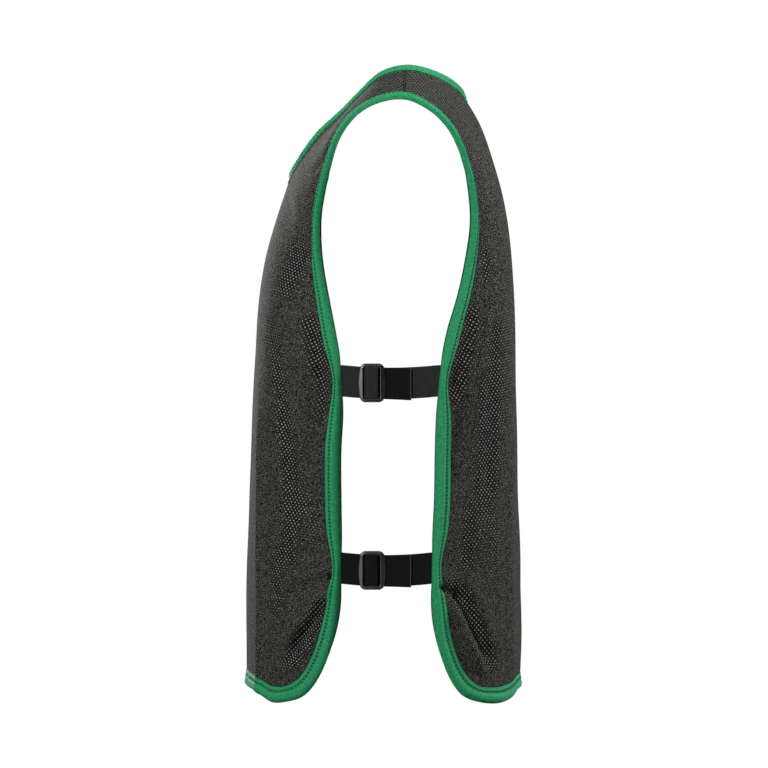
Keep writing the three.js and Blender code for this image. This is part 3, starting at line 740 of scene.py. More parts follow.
def tape_half(panel, places, widths, ends, side):
    """Points on the cloth under the tape's section, their normals and the way out, along half an edge."""
    level, share = places
    direction = inwards_from(panel, level, share, ends)
    strips, normals = [], []
    reached = 0
    for part, _, _ in TAPE_FACE:
        level, share = walked(panel, level, share, direction, (part - reached) * widths)
        reached = part
        points, normal = panel.dressed(level, share, side)
        strips.append(points)
        normals.append(normal)
    strips, normals = np.stack(strips, axis=1), np.stack(normals, axis=1)
    beyond = unit(strips[:, 0] - strips[:, 2])
    return strips, normals, beyond


def tape_sections(strips, normals, beyond, swell, fullness):
    """The folded tape's closed section at each station: round its outside, then back inside."""
    def face(heights):
        return strips + normals * heights[..., None]

    def fold(table):
        rows = [
            strips[:, 0] + beyond * (out * swell)[:, None] + normals[:, 0] * (height * fullness)[:, None]
            for out, height in table
        ]
        return np.stack(rows, axis=1)

    _, heights, depths = np.transpose(TAPE_FACE)
    inner = np.full(strips.shape[:2], TAPE_INSIDE)
    over, under = np.outer(fullness, heights), np.outer(fullness, depths)
    outside = [face(over)[:, ::-1], fold(TAPE_FOLD), face(-under)]
    inside = [face(-inner)[:, ::-1], fold(TAPE_INNER_FOLD), face(inner)]
    return np.concatenate(outside + inside, axis=1)


def edge_widths(panel, level):
    """Folded width of the edge tape, drawn in where a strap pulls."""
    z = panel.edge(level)[:, 2]
    heights, widths = np.transpose(EDGE_TAPE[::-1])
    return np.interp(z, heights, widths) * (1 - STRAP_PULL["narrows"] * strap_pull(z))


def edge_fullness(edge):
    """How far the edge tape stands up: full beside the arms and down the sides, flatter along the hem."""
    low = ramp(-edge[:, 2], HEM_PRESS["below"], HEM_PRESS["over"])
    return 1 - HEM_PRESS["by"] * low * bell(edge[:, 0], HEM_PRESS["half"])


def lap_swell(edge):
    """The edge tape's fold is fuller where the front and back tapes meet."""
    near = bell(edge[:, 1] - TAPE_LAP["y"], TAPE_LAP["half"]) * (edge[:, 2] > TAPE_LAP["above"])
    return 1 + TAPE_LAP["swell"] * near


def joined_halves(halves):
    """The left half followed by the right half run backwards, as one list of stations."""
    left, right = halves
    return [np.concatenate([a, b[-2::-1]]) for a, b in zip(left, right)]


def tape_uv(sections):
    """Across the tape and along it, in mm."""
    along = lengths_along(sections[:, sections.shape[1] // 4])
    across = lengths_along(sections[len(sections) // 2])
    return np.stack(np.broadcast_arrays(across[None, :], along[:, None]), axis=-1).reshape(-1, 2)


def make_tape(name, sections, closed, material):
    count, size = sections.shape[:2]
    faces = swept_faces(count, size, closed)
    return make_piece(name, sections.reshape(-1, 3), faces, material, tape_uv(sections))


def stitch_lines(strips, normals, fullness, shares, closed):
    """The stitch lines of a tape, each on its outer and inner face."""
    lines = []
    for row, (share, height, depth) in enumerate(TAPE_FACE):
        if share in shares:
            for offset in (height * fullness + STITCH_LIFT, -depth * fullness - STITCH_LIFT):
                lines.append((strips[:, row] + normals[:, row] * offset[:, None], closed))
    return lines


def make_edge_binding(panel, material):
    """A panel's edge tape, its stitch lines and the black thread line beside it, a painted shadow of the
    tape's edge.
    """
    places = outer_places(panel)
    widths = edge_widths(panel, places[0])
    strips, normals, beyond = joined_halves([tape_half(panel, places, widths, 1, side) for side in SIDES])
    edge = strips[:, 0]
    fullness = edge_fullness(edge)
    sections = tape_sections(strips, normals, beyond, lap_swell(edge), fullness)
    piece = make_tape(f"{panel.name}_binding_tape", sections, False, material)
    # The line beside the tape, on the cloth just beyond its inner edge, for black thread: painted shadow of
    # the tape's edge.
    inwards = unit(strips[:, -1] - strips[:, -3])
    beside = strips[:, -1] + inwards * EDGE_SHADOW_LINE["beyond"] + normals[:, -1] * EDGE_SHADOW_LINE["over"]
    return piece, stitch_lines(strips, normals, fullness, EDGE_SEAMS, False), [(beside, False)]


def eased(rows, near):
    """Rows of vectors round a loop, each moved halfway to its neighbours' mean a pass, where near is 1."""
    for _ in range(NECK_EASE):
        beside = (np.roll(rows, 1, axis=0) + np.roll(rows, -1, axis=0)) / 2
        rows = rows + 0.5 * near[:, None, None] * (beside - rows)
    return rows


def neck_run(panel):
    """The neck tape's points, normals and way out along one panel."""
    places = neck_places(panel)
    centre = panel.point(*places)
    rolled = bell(centre[:, 0], NECK_TAPE_BACK["half"]) * (centre[:, 1] > 0)
    widths = NECK_TAPE - NECK_TAPE_BACK["less"] * rolled
    return joined_halves([tape_half(panel, places, widths, -1, side) for side in SIDES])


def make_neck_binding(material):
    """The neck tape, one loop over both panels, and its stitch lines near its inner edge, which are sewn
    black as a painted shadow line under the tape.
    """
    runs = zip(*(neck_run(panel) for panel in PANELS))
    strips, normals, beyond = (np.concatenate([front, back[-2:0:-1]]) for front, back in runs)
    edge = strips[:, :1]
    across, along = edge[:, 0, 0], edge[:, 0, 1]
    point = np.clip(NECK_POINT["gain"] * bell(across, NECK_POINT["half"]), 0, 1)
    point *= along < NECK_POINT["before"]
    strips, normals = edge + eased(strips - edge, point), unit(eased(normals, point))
    fullness = np.full(len(strips), NECK_FULLNESS)
    sections = tape_sections(strips, normals, beyond, np.ones(len(strips)), fullness)
    piece = make_tape("neck_binding_tape", sections, True, material)
    return piece, stitch_lines(strips, normals, fullness, NECK_SEAMS, True)


def shoulder_seams():
    """The seam line on each shoulder, which leans back towards the neck."""
    share = np.linspace(SHOULDER_SEAM["from"], SHOULDER_SEAM["to"], SEAM_SAMPLES)
    lines = []
    for side in SIDES:
        points, normals = BACK.dressed(SHOULDER_SEAM["lean"] * (1 - share), share, side)
        lines.append((points + normals * (CLOTH / 2 + SHOULDER_SEAM["lift"]), False))
    return lines


# Straps and sliders

# At a slider, outwards from the strap's line: its bars, and the layers of elastic over and under them
BAR_BOTTOM = 2 * LAYER + STRAP / 2 + LAYER_GAP
LOOP_OVER = BAR_BOTTOM + SLIDER["thickness"] + LAYER_GAP + STRAP / 2
FRONT_OVER = LOOP_OVER + LAYER
UNDER = 2 * LAYER
# Along the strap's line from the middle of the centre bar: where each layer turns round it, and how roundly
LOOP_TURN = SLIDER["centre_bar"] / 2 + LAYER_GAP + STRAP / 2
FRONT_TURN = LOOP_TURN + LAYER
TURN = 1.1
# Where the front strap has come out from behind the tape, and the share of its rise to the slider there
STRAP_OUT = {"past": 6, "rise": 0.4}
STRAP_LEVEL_OFF = 16  # how far beyond the tape the back strap runs straight
STRAP_SAMPLES = {"edge": 2000, "seat": 200, "line": 1200}
SEAT_SHARE = 0.8  # a strap is sewn between this share of a panel's section and its edge


def strap_seat(panel, height):
    """Plan-view points inside a panel's bound edge, from the edge inwards, where a strap is sewn."""
    levels = np.linspace(panel.neck_row, panel.corner_row, STRAP_SAMPLES["edge"])
    level = np.interp(-height, -panel.edge(levels)[:, 2], levels)
    shares = np.linspace(1, SEAT_SHARE, STRAP_SAMPLES["seat"])
    section = panel.point(np.full(len(shares), level), shares)[:, :2]
    lengths = lengths_along(section)
    seat = []
    for inset, depth in STRAP_SEAT:
        point = np.array([np.interp(inset, lengths, section[:, i]) for i in range(2)])
        ahead = np.array([np.interp(inset + 1, lengths, section[:, i]) for i in range(2)])
        tangent = unit(point - ahead)
        seat.append(point - depth * -panel.facing * np.array([tangent[1], -tangent[0]]))
    return np.array(seat)


class StrapLine:
    """The line that a pair of elastics follows in plan view, with distances measured from the slider."""

    def __init__(self, height):
        front, back = strap_seat(FRONT, height), strap_seat(BACK, height)
        reach = np.linalg.norm(front[0] - back[0]) / 3
        lead_front = front[0] + unit(front[0] - front[1]) * reach
        lead_back = back[0] + unit(back[0] - back[1]) * reach
        t = np.array([0.2, 0.4, 0.6, 0.8])[:, None]
        middle = (1 - t) ** 3 * front[0] + 3 * (1 - t) ** 2 * t * lead_front
        middle += 3 * (1 - t) * t**2 * lead_back + t**3 * back[0]
        guide = np.vstack([front[::-1], middle, back])
        self.points = smooth_line(guide)(np.linspace(0, len(guide) - 1, STRAP_SAMPLES["line"]))
        self.lengths = lengths_along(self.points)
        self.tangents = unit(np.gradient(self.points, axis=0))
        zero = np.interp(SLIDER_Y, self.points[:, 1], self.lengths)
        self.lengths -= zero
        self.front_end, self.back_end = self.lengths[0], self.lengths[-1]
        self.span = (front[0, 1], back[0, 1])

    def at(self, distance):
        """A place on the line, the way along it and the way outwards from it."""
        point, along = (
            np.stack([np.interp(distance, self.lengths, values[:, i]) for i in range(2)], axis=-1)
            for values in (self.points, self.tangents)
        )
        along = unit(along)
        return point, along, np.stack([along[..., 1], -along[..., 0]], axis=-1)

    def sag(self, y):
        """The strap's height against its two ends, lowest halfway between them."""
        share = ramp(y, self.span[0], self.span[1] - self.span[0])
        return -STRAP_SAG * 4 * share * (1 - share)


def back_elastic_path(line):
    """Forward under the slider, round its centre bar, and sewn to itself: along the line, and outwards."""
    edge = line.back_end - STRAP_TUCK
    return [
        (line.back_end, 0), (edge, 0), (edge - STRAP_LEVEL_OFF, 0), (RETURN, 0),
        (SLIDER["centre_bar"], 0), (TURN - LOOP_TURN, 0), (-LOOP_TURN, TURN), (-LOOP_TURN, LOOP_OVER - TURN),
        (TURN - LOOP_TURN, LOOP_OVER), (LOOP_TURN - TURN, LOOP_OVER), (LOOP_TURN, LOOP_OVER - TURN),
        (LOOP_TURN, LAYER + TURN), (LOOP_TURN + TURN, LAYER), (RETURN, LAYER),
    ]


def front_elastic_path(line):
    """Under the front bar, over the centre bar and under the back bar, with a free end."""
    edge = line.front_end + STRAP_TUCK
    out, rise = edge + STRAP_OUT["past"], UNDER * STRAP_OUT["rise"]
    bar = -SLIDER["centre_bar"] / 2 - SLIDER["slot"] - SLIDER["front_bar"] - 1
    return [
        (line.front_end, 0), (edge - STRAP_TUCK / 2, 0), (edge, 0), (out, rise), (bar, UNDER),
        (-FRONT_TURN - TURN, UNDER), (-FRONT_TURN, UNDER + TURN), (-FRONT_TURN, FRONT_OVER - TURN),
        (TURN - FRONT_TURN, FRONT_OVER), (FRONT_TURN - TURN, FRONT_OVER), (FRONT_TURN, FRONT_OVER - TURN),
        (FRONT_TURN, UNDER + TURN), (FRONT_TURN + TURN, UNDER), (RETURN, UNDER), (TAIL, UNDER),
    ]


def rounded(path, rounds=3):
    """A path with its corners cut, so that it turns smoothly."""
    path = np.asarray(path, float)
    for _ in range(rounds):
        near, far = path[:-1] * 0.75 + path[1:] * 0.25, path[:-1] * 0.25 + path[1:] * 0.75
        cut = np.stack([near, far], axis=1).reshape(-1, 2)
        path = np.vstack([path[:1], cut[1:-1], path[-1:]])
    return path


def evenly_spaced(points, step):
    lengths = lengths_along(points)
    even = np.linspace(0, lengths[-1], round(lengths[-1] / step) + 1)
    return np.stack([np.interp(even, lengths, points[:, i]) for i in range(points.shape[1])], axis=1)


# Half of an elastic's section: height from its middle as a share of half its width, and half its thickness
ELASTIC_SECTION = [
    (-1.0, 0.12), (-0.985, 0.42), (-0.955, 0.58), (-0.9, 0.62), (-0.86, 0.56), (-0.6, 0.58), (0.0, 0.6),
]


def elastic_points(path, line, height, droop):
    """An elastic's swept section: (stations, points of the section, 3), and its uv."""
    path = evenly_spaced(rounded(path), ELASTIC_STEP)
    plan, _, outwards = line.at(path[:, 0])
    plan = plan + outwards * path[:, 1:]
    along = unit(np.gradient(plan, axis=0))
    across = np.stack([along[:, 1], -along[:, 0]], axis=1)
    hang = line.sag(plan[:, 1]) - droop * ramp(path[:, 0], FRONT_TURN, TAIL - FRONT_TURN) ** 2
    half = ELASTIC_SECTION + [(-a, b) for a, b in ELASTIC_SECTION[-2::-1]]
    loop = half + [(a, -b) for a, b in half[::-1]]
    stations = []
    for share, depth in loop:
        ground = plan + across * depth
        top = height + hang + share * STRAP_WIDTH / 2
        stations.append(np.column_stack([ground, top]))
    points = np.stack(stations, axis=1)
    lengths = lengths_along(plan)
    from_free_end = lengths[-1] - lengths
    shares = np.array([share for share, _ in loop]) * STRAP_WIDTH / 2
    uv = np.stack(np.broadcast_arrays(from_free_end[:, None], shares[None, :]), axis=-1).reshape(-1, 2)
    return points, uv


def make_elastic(name, path, line, height, droop, mirror, material):
    points, uv = elastic_points(path, line, height, droop)
    faces = swept_faces(*points.shape[:2], False)
    points = points.reshape(-1, 3)
    return make_piece(name, mirrored(points) if mirror else points, faces, material, uv)


def slider_outline():
    """The slider's outline and its two slots, as closed lists of plane points in mm."""
    s = SLIDER
    bar = s["centre_bar"] / 2
    top, slot_top = s["height"] / 2, s["slot_height"] / 2
    front, back = -bar - s["slot"] - s["front_bar"], bar + s["slot"] + s["back_bar"]
    outline = rounded_box(front, back, -top, top, s["corner"], s["bow"])
    slots = [
        rounded_box(near, far, -slot_top, slot_top, s["slot_corner"], 0)
        for near, far in ((-bar - s["slot"], -bar), (bar, bar + s["slot"]))
    ]
    return [outline, *slots]


ROUND_STEPS = 8  # in each corner


def rounded_box(left, right, bottom, top, radius, bow):
    """A box with round corners, whose upright sides bow outwards."""
    points = []
    for x, y, start in ((right, top, 0), (left, top, 1), (left, bottom, 2), (right, bottom, 3)):
        inner = (x - math.copysign(radius, x - (left + right) / 2), y - math.copysign(radius, y))
        for step in range(ROUND_STEPS + 1):
            angle = (start + step / ROUND_STEPS) * math.pi / 2
            points.append((inner[0] + radius * math.cos(angle), inner[1] + radius * math.sin(angle)))
        if start in (0, 2):
            continue
        side = math.copysign(1, x - (left + right) / 2)
        for share in (0.25, 0.5, 0.75):
            height = (top - radius) * (1 - 2 * share) * (1 if start == 1 else -1)
            points.append((x + side * bow * (1 - (2 * share - 1) ** 2), height))
    return points


def slider_mesh():
    """The moulded slider lying flat, in mm: outline with two slots, thickened and rounded."""
    curve = bpy.data.curves.new("slider_outline", "CURVE")
    curve.dimensions, curve.fill_mode = "2D", "BOTH"
    curve.extrude = SLIDER["thickness"] / 2 - SLIDER["bevel"]
    curve.bevel_depth, curve.bevel_resolution, curve.offset = SLIDER["bevel"], 4, -SLIDER["bevel"]
    for outline in slider_outline():
        spline = curve.splines.new("POLY")
        spline.points.add(len(outline) - 1)
        for point, (x, y) in zip(spline.points, outline):
            point.co = (x, y, 0, 1)
        spline.use_cyclic_u = True
    mesh = made_plain(linked("slider_outline", curve))
    shoulder = SLIDER["centre_bar"] / 2 + SLIDER["slot"]
    for vertex in mesh.vertices:
        beyond = max(0, abs(vertex.co.x) - shoulder)
        vertex.co.z -= SLIDER["slope"] * beyond * max(0, vertex.co.z / (SLIDER["thickness"] / 2))
    return mesh


def make_slider(name, flat, line, height, mirror, material):
    point, along, outwards = line.at(np.array(0.0))
    middle = BAR_BOTTOM + SLIDER["thickness"] / 2
    place = (*(point + outwards * middle), height + line.sag(point[1]))
    turn = Matrix(((along[0], 0, outwards[0]), (along[1], 0, outwards[1]), (0, 1, 0))).to_4x4()
    mesh = flat.copy()
    mesh.name = name
    mesh.transform(Matrix.Scale(MM, 4) @ Matrix.Translation(place) @ turn)
    if mirror:
        mesh.transform(Matrix.Diagonal((-1, 1, 1, 1)))
        mesh.flip_normals()
    mesh.shade_smooth()
    mesh.materials.clear()
    mesh.materials.append(material)
    return linked(name, mesh)


# Materials

# Kinds of node that are used often
MATHS, VECTOR, RANGE = "ShaderNodeMath", "ShaderNodeVectorMath", "ShaderNodeMapRange"
MIX, NOISE, WAVE, BUMP = "ShaderNodeMix", "ShaderNodeTexNoise", "ShaderNodeTexWave", "ShaderNodeBump"


def linear(hex_colour):
    """An sRGB hex value as a linear colour."""
    channels = [int(hex_colour[i : i + 2], 16) / 255 for i in (1, 3, 5)]
    return (*[c / 12.92 if c <= 0.04045 else ((c + 0.055) / 1.055) ** 2.4 for c in channels], 1)


def add(tree, kind, inputs=(), **settings):
    """Adds a node with its settings, and links or sets its inputs."""
    node = tree.nodes.new(kind)
    for name, value in settings.items():
        setattr(node, name, value)
    for socket, value in dict(inputs).items():
        if isinstance(value, bpy.types.NodeSocket):
            tree.links.new(value, node.inputs[socket])
        else:
            node.inputs[socket].default_value = value
    return node


def new_material(name):
    material = bpy.data.materials.new(name)
    material.use_nodes = True
    tree = material.node_tree
    tree.nodes.clear()
    shader = add(tree, "ShaderNodeBsdfPrincipled")
    add(tree, "ShaderNodeOutputMaterial", {"Surface": shader.outputs[0]})
    return material, tree, shader


# The knit. Its eyelets repeat across and along it at the cell's size, with one more in each cell's middle.
KNIT_CELL = (4.5, 5.1)
GRAIN_TURN = 1.0  # degrees by which the cut is turned off the knit
EYELET = (0.1, 0.66)  # radius of a closed and of an open eyelet
EYELET_CLEAR = 0.55  # share of light that an eyelet lets through, between its fine filaments
TENSION = 0.65  # how much of an eyelet's opening is chance
MELANGE = 0.8  # size of the specks in which the yarn's dye differs
MELANGE_RUN = (0.25, 1.0, 1.0)  # they run longer across the body


def eyelet_distances(tree, flat, spread):
    """Distances in mm from the nearest eyelet's middle and from the nearest rim, below 0 inside it."""
    turned = {"Vector": flat, "Rotation": (0, 0, math.radians(GRAIN_TURN))}
    cell = {"Scale": (*(size * MM for size in KNIT_CELL), 1)}
    lattice = add(tree, "ShaderNodeMapping", turned | cell, vector_type="TEXTURE").outputs[0]
    gaps, rims = [], []
    for shift in (0.0, 0.5):
        moved = add(tree, VECTOR, {0: lattice, 1: (shift, shift, shift)}, operation="ADD").outputs[0]
        within = add(tree, VECTOR, {0: moved}, operation="FRACTION").outputs[0]
        centred = add(tree, VECTOR, {0: within, 1: (0.5, 0.5, 0)}, operation="SUBTRACT").outputs[0]
        sized = add(tree, VECTOR, {0: centred, 1: (*KNIT_CELL, 0)}, operation="MULTIPLY").outputs[0]
        gap = add(tree, VECTOR, {0: sized}, operation="LENGTH").outputs["Value"]
        # The tension is uneven, so neighbouring eyelets differ
        number = add(tree, VECTOR, {0: moved}, operation="FLOOR").outputs[0]
        apart = add(tree, VECTOR, {0: number, 1: (0, 0, shift)}, operation="ADD").outputs[0]
        chance = add(tree, "ShaderNodeTexWhiteNoise", {"Vector": apart}).outputs["Value"]
        opened = add(tree, MATHS, {0: chance, 1: TENSION, 2: spread}, operation="MULTIPLY_ADD").outputs[0]
        sizes = {"Value": opened, "From Min": 0.4, "From Max": 1.4, "To Min": EYELET[0], "To Max": EYELET[1]}
        radius = add(tree, RANGE, sizes).outputs[0]
        gaps.append(gap)
        rims.append(add(tree, MATHS, {0: gap, 1: radius}, operation="SUBTRACT").outputs[0])
    gap = add(tree, MATHS, {0: gaps[0], 1: gaps[1]}, operation="MINIMUM").outputs[0]
    return gap, add(tree, MATHS, {0: rims[0], 1: rims[1]}, operation="MINIMUM").outputs[0]


def eyelet_holes(tree, beyond, spread):
    """1 in an eyelet and 0 on the yarn, with a soft rim. Where the knit is slack, on the shoulders, 0."""
    rim = {"Value": beyond, "From Min": -0.3, "From Max": 0.25, "To Min": 1.0, "To Max": 0.0}
    round_hole = add(tree, RANGE, rim, interpolation_type="SMOOTHSTEP").outputs[0]
    slack = add(tree, MATHS, {0: spread, 1: 3.0}, operation="MULTIPLY", use_clamp=True).outputs[0]
    return add(tree, MATHS, {0: round_hole, 1: slack}, operation="MULTIPLY").outputs[0]


def knit_yarn(tree, dye, raised, spread):
    """The yarn's colour: a fine melange, darker beside the eyelets as painted shade in the hollow round
    each, and darker where the knit is stretched thin as painted shade, for the dark inside seen through it
    and the shade in the folds' valleys.
    """
    shade = {"Value": dye, "From Min": 0.4, "From Max": 0.6, "To Min": 0.0, "To Max": 1.0}
    melange = add(tree, RANGE, shade).outputs[0]
    # The melange is evener where the knit is slack
    depth = {"Value": spread, "From Min": 0.0, "From Max": 0.3, "To Min": 0.45, "To Max": 1.0}
    strength = add(tree, RANGE, depth).outputs[0]
    uneven = add(tree, MIX, {0: strength, 2: 0.45, 3: melange}, data_type="FLOAT").outputs[0]
    # Painted shade: the melange is darkened towards each eyelet, where the yarn dips, and is lighter on the
    # raised yarn between.
    mix = add(tree, MATHS, {0: uneven, 1: raised}, operation="MULTIPLY").outputs[0]
    yarns = {0: mix, 6: linear("#050505"), 7: linear("#555551")}
    yarn = add(tree, MIX, yarns, data_type="RGBA").outputs[2]
    # Painted shade: darker where the knit is stretched, for the dark inside seen through it and the shade in
    # the folds' valleys.
    thin_and_valley_shade = {0: spread, 6: (1, 1, 1, 1), 7: (0.22, 0.22, 0.22, 1)}
    stretched = add(tree, MIX, thin_and_valley_shade, data_type="RGBA").outputs[2]
    tone = {0: 1.0, 6: yarn, 7: stretched}
    return add(tree, MIX, tone, data_type="RGBA", blend_type="MULTIPLY").outputs[2]


def polyester_mesh_knit():
    """Charcoal warp-knitted polyester: small staggered eyelets that let light through, and a dull yarn."""
    material, tree, shader = new_material("polyester_mesh_knit")
    flat = add(tree, "ShaderNodeUVMap", uv_map="flat").outputs[0]
    spread = add(tree, "ShaderNodeAttribute", attribute_name="openness").outputs["Fac"]
    gap, beyond = eyelet_distances(tree, flat, spread)
    hole = eyelet_holes(tree, beyond, spread)
    clear = {0: hole, 1: -EYELET_CLEAR, 2: 1.0}
    alpha = add(tree, MATHS, clear, operation="MULTIPLY_ADD").outputs[0]
    tree.links.new(alpha, shader.inputs["Alpha"])
    # Yarn to yarn the dye takes a little differently, which shows as a fine melange, longer along the
    # courses. Its specks are drawn coarser than the yarn, which is too fine to show.
    place = add(tree, "ShaderNodeTexCoord").outputs["Object"]
    course = add(tree, "ShaderNodeMapping", {"Vector": place, "Scale": MELANGE_RUN}).outputs[0]
    specks = {"Vector": course, "Scale": 1 / (MELANGE * MM), "Detail": 0.0}
    dye = add(tree, NOISE, specks).outputs[0]
    # How far the yarn stands raised between the eyelets, used for the bump and for the painted shade towards
    # each eyelet.
    ridge = {"Value": gap, "From Min": 0.5, "From Max": 1.7, "To Min": 0.0, "To Max": 1.0}
    raised = add(tree, RANGE, ridge, interpolation_type="SMOOTHERSTEP").outputs[0]
    # The eyelets are filled with light grey, partly their fine filaments and partly painted light, for the
    # light that shows through them.
    filaments_and_painted_light = {0: hole, 6: knit_yarn(tree, dye, raised, spread), 7: linear("#a8a8a4")}
    colour = add(tree, MIX, filaments_and_painted_light, data_type="RGBA").outputs[2]
    tree.links.new(colour, shader.inputs["Base Color"])
    height = add(tree, MATHS, {0: raised, 1: dye}, operation="ADD").outputs[0]
    bump = add(tree, BUMP, {"Height": height, "Strength": 0.8, "Distance": 0.5 * MM}).outputs[0]
    tree.links.new(bump, shader.inputs["Normal"])
    shader.inputs["Roughness"].default_value = 0.9
    shader.inputs["Specular IOR Level"].default_value = 0.03
    shader.inputs["Sheen Weight"].default_value = 0.015
    shader.inputs["Sheen Roughness"].default_value = 0.2
    return material


def polyester_binding_tape():
    """Green plain-woven polyester tape: fine ribs across, slight dye change, a dull satin."""
    material, tree, shader = new_material("polyester_binding_tape")
    flat = add(tree, "ShaderNodeUVMap", uv_map="flat").outputs[0]
    ribs = {"Vector": flat, "Scale": 1 / (2 * math.pi * 0.14 * MM), "Distortion": 1.2, "Detail": 1.0}
    weft = add(tree, WAVE, ribs, wave_type="BANDS", bands_direction="Y").outputs[1]
    mottle = add(tree, NOISE, {"Vector": flat, "Scale": 1 / (2.6 * MM), "Detail": 3.0}).outputs[0]
    shade = {"Value": mottle, "From Min": 0.3, "From Max": 0.7, "To Min": 0.0, "To Max": 1.0}
    mix = add(tree, RANGE, shade).outputs[0]
    pair = {0: mix, 6: linear("#196a43"), 7: linear("#268557")}
    colour = add(tree, MIX, pair, data_type="RGBA").outputs[2]
    tree.links.new(colour, shader.inputs["Base Color"])
    height = add(tree, MATHS, {0: weft, 1: mottle}, operation="ADD").outputs[0]
    bump = add(tree, BUMP, {"Height": height, "Strength": 0.45, "Distance": 0.25 * MM}).outputs[0]
    tree.links.new(bump, shader.inputs["Normal"])
    shader.inputs["Roughness"].default_value = 0.7
    shader.inputs["Specular IOR Level"].default_value = 0.12
    return material


def woven_elastic(name, run_tones_lit_or_shaded):
    """Black woven elastic: fine lengthwise ribs, dull, greyer where it is cut. The tones of its run are
    given, painted light on the upper straps and painted shade on the lower; its free end is darker still,
    painted shade.
    """
    material, tree, shader = new_material(name)
    flat = add(tree, "ShaderNodeUVMap", uv_map="flat").outputs[0]
    from_end = add(tree, "ShaderNodeSeparateXYZ", {0: flat}).outputs[0]
    ribs = {"Vector": flat, "Scale": 1 / (2 * math.pi * 0.22 * MM), "Distortion": 0.4}
    warp = add(tree, WAVE, ribs, wave_type="BANDS", bands_direction="Y").outputs[1]
    picks = {"Vector": flat, "Scale": 1 / (2 * math.pi * 0.16 * MM), "Distortion": 0.4}
    weft = add(tree, WAVE, picks, wave_type="BANDS", bands_direction="X").outputs[1]
    weave = add(tree, MATHS, {0: warp, 1: weft}, operation="MULTIPLY").outputs[0]
    dust = add(tree, NOISE, {"Vector": flat, "Scale": 1 / (9 * MM), "Detail": 2.0}).outputs[0]
    # The free end's tones, darker than the run's: painted shade.
    slack = {0: dust, 6: linear("#060606"), 7: linear("#0d0d0d")}
    shaded_tail = add(tree, MIX, slack, data_type="RGBA").outputs[2]
    dark, light = run_tones_lit_or_shaded
    run_tones = {0: dust, 6: linear(dark), 7: linear(light)}
    stretched = add(tree, MIX, run_tones, data_type="RGBA").outputs[2]
    # Painted shade: the colour turns to the darker free end past the slider.
    tail = {"Value": from_end, "From Min": 27 * MM, "From Max": 33 * MM}
    lit = add(tree, RANGE, tail, interpolation_type="SMOOTHSTEP").outputs[0]
    length = add(tree, MIX, {0: lit, 6: shaded_tail, 7: stretched}, data_type="RGBA").outputs[2]
    cut = {"Value": from_end, "From Min": 0.4 * MM, "From Max": 1.0 * MM, "To Min": 1.0, "To Max": 0.0}
    sealed = add(tree, RANGE, cut).outputs[0]
    ends = {0: sealed, 6: length, 7: linear("#3c3c3a")}
    colour = add(tree, MIX, ends, data_type="RGBA").outputs[2]
    tree.links.new(colour, shader.inputs["Base Color"])
    bump = add(tree, BUMP, {"Height": weave, "Strength": 0.5, "Distance": 0.25 * MM}).outputs[0]
    tree.links.new(bump, shader.inputs["Normal"])
    shader.inputs["Roughness"].default_value = 0.8
    shader.inputs["Specular IOR Level"].default_value = 0.06
    return material


def moulded_acetal():
    """Black moulded plastic: a fine spark-eroded grain, satin, with soft highlights on its round edges."""
    material, tree, shader = new_material("moulded_acetal")
    place = add(tree, "ShaderNodeTexCoord").outputs["Object"]
    grain = add(tree, NOISE, {"Vector": place, "Scale": 1 / (0.5 * MM), "Detail": 2.0}).outputs[0]
    wear = add(tree, NOISE, {"Vector": place, "Scale": 1 / (7 * MM), "Detail": 2.0}).outputs[0]
    rough = {"Value": wear, "From Min": 0.3, "From Max": 0.7, "To Min": 0.26, "To Max": 0.36}
    roughness = add(tree, RANGE, rough).outputs[0]
    tree.links.new(roughness, shader.inputs["Roughness"])
    pair = {0: wear, 6: linear("#0a0a0a"), 7: linear("#101010")}
    colour = add(tree, MIX, pair, data_type="RGBA").outputs[2]
    tree.links.new(colour, shader.inputs["Base Color"])
    bump = add(tree, BUMP, {"Height": grain, "Strength": 0.15, "Distance": 0.05 * MM}).outputs[0]
    tree.links.new(bump, shader.inputs["Normal"])
    shader.inputs["IOR"].default_value = 1.48
    return material


def spun_thread(name, hex_colour):
    """Spun polyester sewing thread, dull, slightly darker than what it sews."""
    material, tree, shader = new_material(name)
    place = add(tree, "ShaderNodeTexCoord").outputs["Object"]
    twist = add(tree, NOISE, {"Vector": place, "Scale": 1 / (0.4 * MM)}).outputs[0]
    dark = tuple(0.6 * c for c in linear(hex_colour)[:3])
    pair = {0: twist, 6: (*dark, 1), 7: linear(hex_colour)}
    colour = add(tree, MIX, pair, data_type="RGBA").outputs[2]
    tree.links.new(colour, shader.inputs["Base Color"])
    shader.inputs["Roughness"].default_value = 0.75
    shader.inputs["Specular IOR Level"].default_value = 0.2
    return material


def painted_floor():
    """Pale matt studio floor."""
    material, tree, shader = new_material("painted_floor")
    place = add(tree, "ShaderNodeTexCoord").outputs["Object"]
    cloud = add(tree, NOISE, {"Vector": place, "Scale": 2.0}).outputs[0]
    pair = {0: cloud, 6: linear("#ececea"), 7: linear("#f0f0ee")}
    colour = add(tree, MIX, pair, data_type="RGBA").outputs[2]
    tree.links.new(colour, shader.inputs["Base Color"])
    shader.inputs["Roughness"].default_value = 0.9
    return material


# Stitches

STITCH = {"Pitch": 3.6, "Length": 2.9, "Thickness": 1.3}  # mm
SEAM_STITCH = {"Pitch": 2.0, "Length": 2.6, "Thickness": 0.9}  # pulled tight, one beside the other


